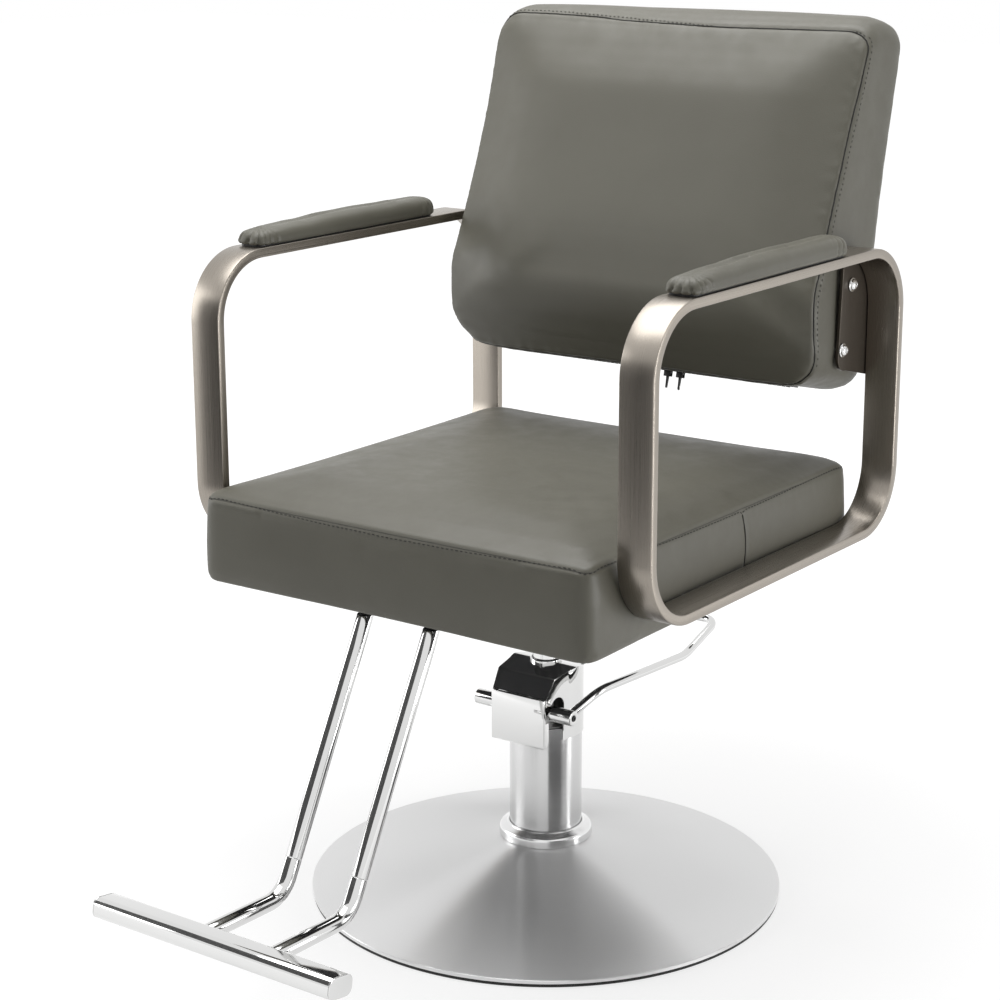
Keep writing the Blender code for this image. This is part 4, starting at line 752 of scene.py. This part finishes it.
def pan_head(radius, height):
    """A low domed head with a round recess, its seat at zero and looking up."""
    profile = ((0, 0.55), (0.28, 0.55), (0.34, 1), (0.62, 0.93), (0.88, 0.6), (1, 0.2), (1, 0), (0, 0))
    return turned([(radius * out, height * up) for out, up in profile], 32)


for name, side in (("left", 1), ("right", -1)):
    piece("arm_bar_" + name, loop_bar(side), NICKEL, "seat", ["arm_loop_" + name], 30)
    for place, y in (("front", -0.118), ("rear", 0.082)):
        spot = (side * (BAR_INNER + BAR_WIDE / 2), y, LOOP_Z[1] - BAR_THICK)
        screw = laid(pan_head(0.0045, 0.0028), math.pi, "X", spot)
        piece("pad_screw_" + name + "_" + place, screw, ZINC, "seat", ())
print("arm bars made, loop", round(loop_length, 3), "m round")

# %% [markdown]
# ## Brackets and their bolts
# A plate on each rear bend carries the backrest with two bolts. The heads are bright domes on washers with a round
# recess: one spun profile makes head, washer and shank together.

# %% Brackets and bolts
BACK_TILT, BACK_Y, BACK_Z = math.radians(13.7), 0.1747, 0.6107


def back_point(u, w, v):
    """A point of the backrest: u across, w up its seam plane, v forward of it."""
    return Vector((u, BACK_Y + w * math.sin(BACK_TILT) - v * math.cos(BACK_TILT),
                   BACK_Z + w * math.cos(BACK_TILT) + v * math.sin(BACK_TILT)))


HEAD_SEAT = 0.2595
for name, side in (("left", 1), ("right", -1)):
    flat_walls(piece("bracket_" + name, copied("back_bracket_" + name, 0.0006), BRACKET, "seat",
                     ["back_bracket_" + name]))
    for place, height in (("lower", 0.032), ("upper", 0.106)):
        node = "back_bolt_" + name + "_" + place
        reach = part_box(node)[1].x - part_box(node)[0].x - 0.006
        profile = [(0.0, 0.0030), (0.0024, 0.0030), (0.0028, 0.0056), (0.0048, 0.0050), (0.0062, 0.0032),
                   (0.0064, 0.0014), (0.0080, 0.0014), (0.0080, 0.0001), (0.0039, 0.0001), (0.0039, -reach),
                   (0.0, -reach)]
        spot = back_point(side * HEAD_SEAT, height, -0.0247)
        bolt = laid(soften(turned(profile, 48), 0.0004, 30), side * math.pi / 2, "Y", spot)
        piece("bracket_bolt_" + name + "_" + place, bolt, CHROME, "seat", [node])
repainted(DUST_CLOTH, "seat_frame")
repainted(PLYWOOD, "back_frame")
repainted(BLACK_PAINT, "arm_pad_board_left", "arm_pad_board_right")
repainted(ZIP_BLACK, "zip_tape")
repainted(ZINC, *(node for node in nodes if node.startswith("arm_bolt_")))
print("brackets made")

# %% [markdown]
# ## How the cushions are made
# A cushion is a cover blown tight by its filling. Each soft node is copied, remeshed into even squares, and smoothed.
# Then Blender's cloth simulation pushes the cover out with a little pressure, while the seams, the underside and the
# edges that are stapled to the boards are held. How far a point may travel is capped, and one subdivision follows.


# %% Cover tools
def normals_of(mesh):
    return [normal.vector.copy() for normal in mesh.vertex_normals]


def even_cover(node, voxel, smoothing):
    """A copy of a soft node, remeshed and smoothed."""
    made = linked("cover", mesh_of("cover", copied(node, 0)))
    remesh = made.modifiers.new("remesh", "REMESH")
    remesh.mode, remesh.voxel_size = "VOXEL", voxel
    even = taken_off(made)
    shape = bmesh.new()
    shape.from_mesh(even)
    for _ in range(smoothing):
        bmesh.ops.smooth_vert(shape, verts=shape.verts, factor=0.5, use_axis_x=True, use_axis_y=True, use_axis_z=True)
    shape.to_mesh(even)
    shape.free()
    return even


EVEN_PASSES, BLOW_STEPS, BLOW_PRESSURE = 24, 20, 5.0


def puffed(mesh, held, cap, sink):
    """The cover after its panels are sunk a little and blown out again; held gives a pin weight for a point.

    A tight cover has no folds, so the movement is shared between neighbours before it is kept."""
    made = linked("cover", mesh)
    pins = made.vertex_groups.new(name="held")
    for vert in mesh.vertices:
        pins.add([vert.index], held(vert.co), "REPLACE")
    for vert, normal in zip(mesh.vertices, normals_of(mesh)):
        vert.co -= normal * sink * (1.0 - held(vert.co))
    rest = [vert.co.copy() for vert in mesh.vertices]
    cover = made.modifiers.new("cover", "CLOTH")
    settings = cover.settings
    settings.quality, settings.mass = 5, 0.25
    settings.tension_stiffness = settings.compression_stiffness = 18.0
    settings.shear_stiffness, settings.bending_stiffness = 8.0, 3.0
    settings.use_pressure, settings.uniform_pressure_force = True, BLOW_PRESSURE
    settings.vertex_group_mass = "held"
    settings.effector_weights.gravity = 0.0
    cover.collision_settings.use_collision = False
    cover.collision_settings.use_self_collision = False
    cover.point_cache.frame_start, cover.point_cache.frame_end = 1, BLOW_STEPS
    for step in range(1, BLOW_STEPS + 1):
        scene.frame_set(step)
    blown = mesh_after(made)
    scene.frame_set(1)
    bpy.data.objects.remove(made)
    moves = [vert.co - start for vert, start in zip(blown.vertices, rest)]
    furthest = max(move.length for move in moves)
    moves = [move * min(1.0, cap / max(move.length, 1e-9)) for move in moves]
    shape = bmesh.new()
    shape.from_mesh(blown)
    beside = [[edge.other_vert(vert).index for edge in vert.link_edges] for vert in shape.verts]
    shape.free()
    free = [1.0 - held(start) for start in rest]
    for _ in range(EVEN_PASSES):
        moves = [(move * 0.5 + sum((moves[k] for k in near), Vector()) * (0.5 / len(near))) if loose > 0.05 else move
                 for move, near, loose in zip(moves, beside, free)]
    for vert, start, move in zip(blown.vertices, rest, moves):
        vert.co = start + move
    print("  cover of", len(blown.vertices), "points, largest move", round(furthest, 4))
    return blown


def subdivided(mesh):
    made = linked("cover", mesh)
    finer = made.modifiers.new("finer", "SUBSURF")
    finer.levels = finer.render_levels = 1
    return taken_off(made)


print("cover tools ready")

# %% [markdown]
# ## How the seams are made
# A seam is two edges of leather sewn together: the thread pulls the cover in, and the leather puckers beside it. A
# dark line in the colour would show no groove, so here a line is laid on the cover, the points near it are sunk, and
# a thin round line or a row of short stitches lies along it. The round line is grey thread on the seat's top seam,
# and a near-black line of painted shade in the grooves of the other seams.

# %% Seam tools
LINE_STEP = 0.003


def rounded_line(half, low, high, low_radius, high_radius, inset, step=LINE_STEP):
    """Points round an oblong with round corners, as (across, along) pairs, evenly spread."""
    low_r, high_r = max(low_radius - inset, 0.002), max(high_radius - inset, 0.002)
    half, low, high = half - inset, low + inset, high - inset
    corners = ((half - low_r, low + low_r, low_r, -90), (half - high_r, high - high_r, high_r, 0),
               (-half + high_r, high - high_r, high_r, 90), (-half + low_r, low + low_r, low_r, 180))
    rough = []
    for x, y, radius, start in corners:
        rough += [(x + radius * math.cos(math.radians(start + a)), y + radius * math.sin(math.radians(start + a)))
                  for a in range(0, 91, 6)]
    line = []
    for (ax, ay), (bx, by) in zip(rough, rough[1:] + rough[:1]):
        count = max(1, round(math.hypot(bx - ax, by - ay) / step))
        line += [(ax + (bx - ax) * k / count, ay + (by - ay) * k / count) for k in range(count)]
    return line


def surface_of(mesh):
    return BVHTree.FromPolygons([v.co for v in mesh.vertices], [p.vertices for p in mesh.polygons])


def on_surface(tree, points):
    """Each point dropped onto the nearest place of a cover, with the cover's normal there."""
    return [(hit[0], hit[1]) for hit in (tree.find_nearest(p) for p in points) if hit[0] is not None]


def evened(tree, points, loop=True, passes=12, lift=0.0002):
    """A line on a cover, drawn straight between its neighbours again and again, and laid back on the cover."""
    line = [p for p, _ in on_surface(tree, points)]
    for _ in range(passes):
        before = [line[-1] if loop else line[0]] + line[:-1]
        after = line[1:] + [line[0] if loop else line[-1]]
        line = [(a + b * 2 + c) / 4 for a, b, c in zip(before, line, after)]
    return [p + n * lift for p, n in on_surface(tree, line)]


def press_seam(mesh, points, width, depth, gather=0.0, pitch=0.014):
    """Sink the cover along a line, and let it pucker a little beside it."""
    finder = KDTree(len(points))
    for i, point in enumerate(points):
        finder.insert(point, i)
    finder.balance()
    for vert, normal in zip(mesh.vertices, normals_of(mesh)):
        _, index, away = finder.find(vert.co)
        if away < width:
            vert.co -= normal * depth * (1 - (away / width) ** 2) ** 2
        if gather and away < 6 * width:
            wave = math.sin(2 * math.pi * index * LINE_STEP / pitch + 4 * noise.noise(points[index] * 30))
            reach = away / (6 * width)
            vert.co += normal * gather * wave * reach * (1 - reach) ** 3 * 6.75


def thin_round_line(points, radius, loop=True):
    """A thin round line through points on a cover."""
    curve = bpy.data.curves.new("line", "CURVE")
    curve.dimensions = "3D"
    curve.bevel_depth, curve.bevel_resolution = radius, 1
    spline = curve.splines.new("POLY")
    spline.points.add(len(points) - 1)
    for slot, point in zip(spline.points, points):
        slot.co = (*point, 1.0)
    spline.use_cyclic_u = loop
    shape = bmesh.new()
    shape.from_mesh(taken_off(linked("line", curve)))
    return face_out(shape)


def brick(shape, size, place, facing=Matrix()):
    """Add a small box to a shape: a stitch, a tooth or a staple."""
    bmesh.ops.create_cube(shape, size=1.0, matrix=Matrix.Translation(place) @ facing @ Matrix.Diagonal((*size, 1.0)))


def stitch_row(spots, pitch, length, loop=True):
    """Short threads laid along a line of (point, normal) spots."""
    shape = bmesh.new()
    travel, due = 0.0, 0.0
    for (a, normal), (b, _) in zip(spots, spots[1:] + (spots[:1] if loop else [])):
        run = b - a
        travel += run.length
        if travel < due or run.length < 1e-6:
            continue
        due = travel + pitch
        ahead = run.normalized()
        across = normal.cross(ahead).normalized()
        up = ahead.cross(across)
        frame_here = Matrix((ahead, across, up)).transposed().to_4x4()
        brick(shape, (length, 0.0009, 0.0007), a + up * 0.0002, frame_here)
    return shape


def cushion(name, mesh, covers, material=LEATHER):
    mesh.materials.clear()
    mesh.materials.append(material)
    mesh.shade_smooth()
    made = linked(name, mesh)
    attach(made, "seat")
    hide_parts(*covers)
    return made


print("seam tools ready")

# %% [markdown]
# ## The seat cushion
# The seat is a firm box cushion: a crowned top panel, sewn to a straight border that is pulled under the tray. The
# top seam shows as a fine groove with a row of stitches, and a short upright seam joins the border on each side.

# %% Seat cushion
SEAT_HALF, SEAT_FRONT, SEAT_REAR, SEAT_SEAM = 0.2592, -0.298, 0.250, 0.4970
TRAY_GRIP, TRAY_TOP, TRAY_HALF, TRAY_FRONT, TRAY_REAR = 0.404, 0.449, 0.2455, -0.2845, 0.2365


def seat_outline(inset, step=LINE_STEP):
    return rounded_line(SEAT_HALF, SEAT_FRONT, SEAT_REAR, 0.018, 0.024, inset, step)


def seat_held(point):
    """How firmly the tray or the seam holds a point of the cover, from 0 to 1."""
    in_tray = abs(point.x) < TRAY_HALF and TRAY_FRONT < point.y < TRAY_REAR
    if point.z < TRAY_GRIP or (point.z < TRAY_TOP and in_tray):
        return 1.0
    near_edge = min(SEAT_HALF - abs(point.x), point.y - SEAT_FRONT, SEAT_REAR - point.y)
    return 0.9 if abs(point.z - SEAT_SEAM) < 0.006 and near_edge < 0.012 else 0.0


seam_line = [Vector((x, y, SEAT_SEAM)) for x, y in seat_outline(0.0045)]
seat_mesh = puffed(even_cover("seat_cushion", 0.006, 3), seat_held, 0.005, 0.0015)
seat_mesh = subdivided(seat_mesh)
press_seam(seat_mesh, evened(surface_of(seat_mesh), seam_line), 0.0045, 0.0011, 0.00006)
side_seams = []
for side in (1, -1):
    upright = [Vector((side * 0.262, 0.004 + 0.004 * math.sin(math.pi * k / 30), SEAT_SEAM - 0.002 - 0.0026 * k))
               for k in range(31)]
    side_seams.append([p for p, _ in on_surface(surface_of(seat_mesh), upright)])
    press_seam(seat_mesh, side_seams[-1], 0.004, 0.0014)
cushion("seat_pad", seat_mesh, ["seat_cushion"])
seat_surface = surface_of(seat_mesh)
piece("seat_seam", thin_round_line(evened(seat_surface, seam_line), 0.0004), STITCH, "seat")
# The upright seams carry a near-black line in their grooves: painted shade.
for side, line in zip(("left", "right"), side_seams):
    piece("seat_side_seam_" + side, thin_round_line(evened(seat_surface, line, False), 0.0007, False), SEAM_SHADE_LINE, "seat")
upper_spots = []
for x, y in seat_outline(0.0075):
    place, normal, _, _ = seat_surface.ray_cast(Vector((x, y, 0.52)), Vector((0, 0, -1)))
    upper_spots.append((place, normal))
piece("seat_stitches", stitch_row(upper_spots, 0.0048, 0.0028), THREAD, "seat")
print("seat made,", len(seat_mesh.polygons), "faces")

# %% [markdown]
# ## The backrest cushion
# The backrest leans back, thick at the bottom and thin at the top. Its front panel bulges over a firm edge, and a
# seam with painted shade in its groove runs right round where the front meets the border. The cover closes with a zip
# underneath.

# %% Backrest cushion
BACK_HALF, BACK_LOW, BACK_HIGH, FRAME_INSET = 0.2550, -0.016, 0.408, 0.0175
BACK_SEAM_TOP, BACK_SWELL, SWELL_PLACE, BACK_PLUMP = BACK_HIGH - 0.019, 0.040, 0.235, 0.009
TOP_CROWN, LOW_SAG = 0.0075, 0.0058


def back_swell(w):
    """How far the front seam stands forward at a height: most over the sitter's waist."""
    share = clamped((w - BACK_LOW) / (BACK_HIGH - BACK_LOW))
    if share > SWELL_PLACE:
        return BACK_SWELL * (1 - (share - SWELL_PLACE) / (1 - SWELL_PLACE)) ** 1.45
    return BACK_SWELL * (1 - ((SWELL_PLACE - share) / SWELL_PLACE) ** 1.7)


def eased(low, high, value):
    """0 below low, 1 above high, and a smooth climb between."""
    share = clamped((value - low) / (high - low))
    return share * share * (3 - 2 * share)


def seam_wander(u, w):
    """The upper seam isn't quite level: it is sewn higher at one end, and sags from the middle to the other."""
    return (0.006 - 0.012 * eased(-0.2, 0.08, u)) * eased(0.32, 0.385, w)


back_rim = [(u * (1 - 0.022 * eased(0.05, 0.18, w) * eased(0.36, 0.27, w)), w + seam_wander(u, w)) for u, w in
            rounded_line(BACK_HALF, BACK_LOW, BACK_SEAM_TOP, 0.042, 0.026, 0.0015)]
back_line = [back_point(u, w, back_swell(w)) for u, w in back_rim]
lean = Vector((0, math.sin(BACK_TILT), math.cos(BACK_TILT)))
forward = Vector((0, -math.cos(BACK_TILT), math.sin(BACK_TILT)))


def in_back(point):
    """A world point in the backrest's own measures: across, up and forward."""
    step = point - back_point(0, 0, 0)
    return point.x, step.dot(lean), step.dot(forward)


def back_held(point):
    """How firmly the frame, the rear panel or the seam holds a point of the cover, from 0 to 1."""
    u, w, v = in_back(point)
    share = (w - BACK_LOW) / (BACK_HIGH - BACK_LOW)
    rear = -(0.105 - 0.024 * share)
    inside = abs(u) < BACK_HALF - FRAME_INSET and BACK_LOW + FRAME_INSET < w < BACK_HIGH - FRAME_INSET and v < 0.001
    if inside or v < rear + 0.010:
        return 1.0
    at_edge = max(abs(u) / BACK_HALF, (w - 0.19) / 0.199, (0.19 - w) / 0.206) > 0.965
    if at_edge and abs(v - back_swell(w)) < 0.006:
        return 0.92
    return 0.5 if v < back_swell(w) and abs(u) > 0.24 else 0.0


back_mesh = puffed(even_cover("back_cushion", 0.006, 3), back_held, 0.006, 0.0015)
back_mesh = subdivided(back_mesh)
for vert in back_mesh.vertices:
    u, w, v = in_back(vert.co)
    vert.co += lean * 0.5 * max(0.0, seam_wander(u, w)) * eased(-0.06, -0.015, v)
    if v > back_swell(w) - 0.012:
        vert.co += forward * BACK_PLUMP * eased(0.248, 0.165, abs(u)) * eased(0.39, 0.30, w) * eased(0.0, 0.06, w)
press_seam(back_mesh, evened(surface_of(back_mesh), back_line), 0.0045, 0.0018, 0.0003, 0.021)
for vert in back_mesh.vertices:
    u, w, v = in_back(vert.co)
    top_share = clamped((w - 0.386) / 0.014) * max(0.0, 1 - ((v + 0.038) / 0.042) ** 2)
    vert.co += lean * TOP_CROWN * top_share * max(0.0, 1 - (u / 0.262) ** 2)
    low_share = max(0.0, 1 - (w - BACK_LOW) / 0.022) * max(0.0, 1 - abs(v + 0.002) / 0.032) ** 0.5
    vert.co -= lean * LOW_SAG * min(1.0, low_share) * max(0.0, 1 - (u / 0.25) ** 4)
cushion("back_pad", back_mesh, ["back_cushion"])
back_surface = surface_of(back_mesh)
# A near-black line in the front seam's groove: painted shade.
piece("back_seam", thin_round_line(evened(back_surface, back_line), 0.0008), SEAM_SHADE_LINE, "seat")
border = [back_point(u, w, back_swell(w) - 0.006) for u, w in back_rim]
border_spots = [spot for spot in on_surface(back_surface, border) if spot[0].z > 0.62]
piece("back_stitches", stitch_row(border_spots, 0.0050, 0.0022, False), STITCH, "seat")
print("backrest made,", len(back_mesh.polygons), "faces")

# %% [markdown]
# ## The rear panel
# The back of the backrest is closed by a board in the same leather. It is remeshed, and its outer face is moved out
# most in the middle, which gives it the gentle swell of a thinly padded board.

# %% Rear panel
PANEL_SWELL = 0.0022
board_mesh = even_cover("back_panel", 0.004, 2)
for vert, normal in zip(board_mesh.vertices, normals_of(board_mesh)):
    if normal.dot(forward) < -0.7:
        u, w, _ = in_back(vert.co)
        across, up = u / 0.2365, (w - 0.196) / 0.192
        vert.co -= forward * PANEL_SWELL * max(0.0, (1 - across ** 4) * (1 - up ** 4))
cushion("rear_panel", board_mesh, ["back_panel"], PANEL_LEATHER)
print("rear panel made")

# %% [markdown]
# ## The arm pads
# Each pad is a strip of leather over a board, pulled under and stapled. The top is smooth, but the ends have more
# leather than room, so it gathers into pleats that deepen towards the board.

# %% Arm pads
PAD_LOW, PAD_MIDDLE, PAD_HALF = 0.7541, -0.018, 0.163
PLEAT_DEPTH, PLEAT_COUNT, END_RISE, UNEVEN = 0.0036, 6.3, 0.0034, 0.0004


def pad_held(point):
    return 1.0 if point.z < PAD_LOW + 0.006 else 0.0


for name, side in (("left", 1), ("right", -1)):
    pad_mesh = puffed(even_cover("arm_pad_" + name, 0.003, 2), pad_held, 0.0025, 0.001)
    pad_mesh = subdivided(pad_mesh)
    centre = side * (BAR_INNER + BAR_WIDE / 2)
    for vert, normal in zip(pad_mesh.vertices, normals_of(pad_mesh)):
        along = (vert.co.y - PAD_MIDDLE) / PAD_HALF
        end = max(0.0, (abs(along) - 0.74) / 0.26)
        height = (vert.co.z - PAD_LOW) / 0.020
        turn_here = math.atan2(vert.co.x - centre, (abs(along) - 0.86) * PAD_HALF)
        fold = (1 - abs(math.sin(turn_here * PLEAT_COUNT + 1.6 * noise.noise(vert.co * 60)))) ** 2.4
        fall = clamped(1.25 - height) * clamped(height * 6)
        blunt = clamped((abs(along) - 0.45) / 0.4) * clamped(height)
        vert.co.z += END_RISE * blunt
        vert.co -= normal * PLEAT_DEPTH * fold * min(1.0, end) ** 0.6 * fall
        vert.co += normal * UNEVEN * noise.noise(vert.co * 28)
        vert.co.z = max(vert.co.z, PAD_LOW)
    cushion("arm_rest_" + name, pad_mesh, ["arm_pad_" + name])
print("arm pads made")

# %% [markdown]
# ## The zip under the backrest
# A cover zip is two rows of small teeth on a tape, closed by sliders with hanging pulls. Teeth are boxes of a few
# faces, because there are more than a hundred of them, and the right pull carries a small bright ring.

# %% Zip
ZIP_W, ZIP_V, ZIP_START, TOOTH_COUNT, TOOTH_PITCH = -0.0163, -0.040, -0.195, 130, 0.003
teeth = bmesh.new()
lay = Matrix((Vector((1, 0, 0)), -forward, lean)).transposed().to_4x4()
for i in range(TOOTH_COUNT):
    x = ZIP_START + TOOTH_PITCH * i
    spot = back_point(x, ZIP_W - 0.0004, ZIP_V + (0.0007 if i % 2 else -0.0007))
    brick(teeth, (0.0016, 0.003, 0.0009), spot, lay)
piece("zip_teeth", teeth, ZIP_BLACK, "seat", ())
for name, body in (("left", "a"), ("right", "b")):
    piece("slider_" + name, copied("zip_slider_" + name, 0.0003), BLACK_PAINT, "zip_slider_" + body,
          ["zip_slider_" + name])
    piece("pull_" + name, copied("zip_pull_" + name, 0.0002), BLACK_PAINT, "zip_pull_" + body, ["zip_pull_" + name])
pull_low, pull_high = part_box("zip_pull_right")
ring_middle = Vector(((pull_low.x + pull_high.x) / 2, pull_low.y + 0.0022, pull_low.z + 0.0022))
ring_turns = [2 * math.pi * k / 24 for k in range(24)]
ring_line = [ring_middle + Vector((0.0013 * math.sin(turn), 0.0, 0.0026 * math.cos(turn))) for turn in ring_turns]
piece("pull_ring", thin_round_line(ring_line, 0.0005), CHROME, "zip_pull_b", ())
print("zip made")

# %% [markdown]
# ## Staples under the seat
# Seen from below, the leather is pulled round the tray's edge and stapled. A row of tiny wire staples finishes it.

# %% Staples
TRAY_LOW, STAPLE_INSET, STAPLE_PITCH = 0.4000, 0.0160, 0.03
staples = bmesh.new()
for x, y in seat_outline(STAPLE_INSET, STAPLE_PITCH):
    brick(staples, (0.0100, 0.0009, 0.0007) if abs(x) < 0.24 else (0.0009, 0.0100, 0.0007), (x, y, TRAY_LOW))
piece("cover_staples", staples, ZINC, "seat", ())
print("staples made")

# %% [markdown]
# ## The studio
# The chair stands on a white floor under a white sky, as for a catalogue. The floor glows a little for the camera
# and for mirrors, so that the background is white, and still takes the chair's shadow.


# %% Floor and world
def seen_directly(tree):
    """One for rays from the camera and for mirror and glass rays, zero for the rest."""
    path = tree.nodes.new("ShaderNodeLightPath")
    first = add_node(tree, "ShaderNodeMath", {0: path.outputs["Is Camera Ray"], 1: path.outputs["Is Glossy Ray"]},
                     operation="MAXIMUM")
    return add_node(tree, "ShaderNodeMath", {0: first.outputs["Value"], 1: path.outputs["Is Transmission Ray"]},
                    operation="MAXIMUM").outputs["Value"]


def floor_finish():
    made = bpy.data.materials.new("studio_floor")
    made.use_nodes = True
    tree = made.node_tree
    tree.nodes.remove(tree.nodes["Principled BSDF"])
    plain = add_node(tree, "ShaderNodeBsdfDiffuse", {"Color": (0.80, 0.80, 0.80, 1.0)})
    part = add_node(tree, "ShaderNodeBsdfDiffuse", {"Color": (0.30, 0.30, 0.30, 1.0)})
    place = add_node(tree, "ShaderNodeTexCoord")
    away = add_node(tree, "ShaderNodeVectorMath", {0: place.outputs["Object"]}, operation="LENGTH")
    # Painted shade: the glow fades towards the chair, from full beyond 2.2 m to 0.74 within half a metre, so the floor
    # round the chair is darker than the far floor.
    level = spread(tree, away.outputs["Value"], 0.74, 1.0, 0.5, 2.2)
    glow = add_node(tree, "ShaderNodeEmission", {"Strength": level})
    both = add_node(tree, "ShaderNodeAddShader", {0: glow.outputs["Emission"], 1: part.outputs["BSDF"]})
    mixed = add_node(tree, "ShaderNodeMixShader", {0: seen_directly(tree), 1: plain.outputs["BSDF"],
                                                   2: both.outputs["Shader"]})
    tree.links.new(mixed.outputs["Shader"], tree.nodes["Material Output"].inputs["Surface"])
    return made


floor_shape = bmesh.new()
bmesh.ops.create_grid(floor_shape, x_segments=1, y_segments=1, size=14.0)
bmesh.ops.translate(floor_shape, vec=(0, 0, -0.0004), verts=floor_shape.verts)
floor_mesh = mesh_of("floor", floor_shape)
floor_mesh.materials.append(floor_finish())
floor = linked("floor", floor_mesh)

world = bpy.data.worlds.new("studio")
scene.world = world
world.use_nodes = True
sky = world.node_tree
backdrop = sky.nodes["Background"]
level = add_node(sky, "ShaderNodeMapRange", {"Value": seen_directly(sky), "To Min": 0.20, "To Max": 1.0})
sky.links.new(level.outputs["Result"], backdrop.inputs["Strength"])
backdrop.inputs["Color"].default_value = (1.0, 1.0, 1.0, 1.0)
print("floor and world made")

# %% [markdown]
# ## Lamps and cards
# Soft boxes light the chair from above, the right and the left. Polished metal needs something dark to mirror before
# it looks like metal, so a few cards stand round the chair, seen by mirrors alone.


# %% Soft boxes and cards
def soft_box(name, place, aim, width, height, power):
    lamp = bpy.data.lights.new(name, "AREA")
    lamp.shape, lamp.size, lamp.size_y, lamp.energy = "RECTANGLE", width, height, power
    made = linked(name, lamp)
    made.matrix_world = (Matrix.Translation(place) @
                         (Vector(aim) - Vector(place)).to_track_quat("-Z", "Y").to_matrix().to_4x4())


soft_box("top_box", (-0.25, 0.0, 2.7), (0.0, 0.0, 0.5), 2.5, 2.4, 72.0)
soft_box("right_box", (2.1, 0.45, 0.36), (0.1, 0.0, 0.40), 1.2, 0.7, 20.0)
soft_box("left_box", (-2.4, -1.5, 1.1), (0.0, 0.0, 0.55), 2.0, 1.6, 30.0)

DARK_CARD = dull_finish("dark_card_paper", (0.085, 0.085, 0.085), (0.095, 0.095, 0.095), 0.8, 40.0, 0.1)
GREY_CARD = dull_finish("grey_card_paper", (0.20, 0.20, 0.20), (0.22, 0.22, 0.22), 0.8, 40.0, 0.1)


def card(name, turns, distance, low, high, paper):
    """An upright card, which only mirrors see, between two angles from the chair's front to the viewer's right."""
    shape = bmesh.new()
    feet = [(distance * math.sin(math.radians(turn)), -distance * math.cos(math.radians(turn))) for turn in turns]
    foot = shape.edges.new([shape.verts.new((*spot, low)) for spot in feet])
    pushed(shape, [foot], (0, 0, high - low))
    mesh = mesh_of(name, shape)
    mesh.materials.append(paper)
    made = linked(name, mesh)
    made.visible_camera = made.visible_diffuse = made.visible_shadow = False


card("near_card", (42, 100), 0.36, 0.0, 0.215, GREY_CARD)
card("loop_card", (-51, 8), 1.0, 0.26, 0.95, DARK_CARD)
card("right_card", (96, 110), 2.1, 0.0, 2.2, DARK_CARD)
print("studio made")
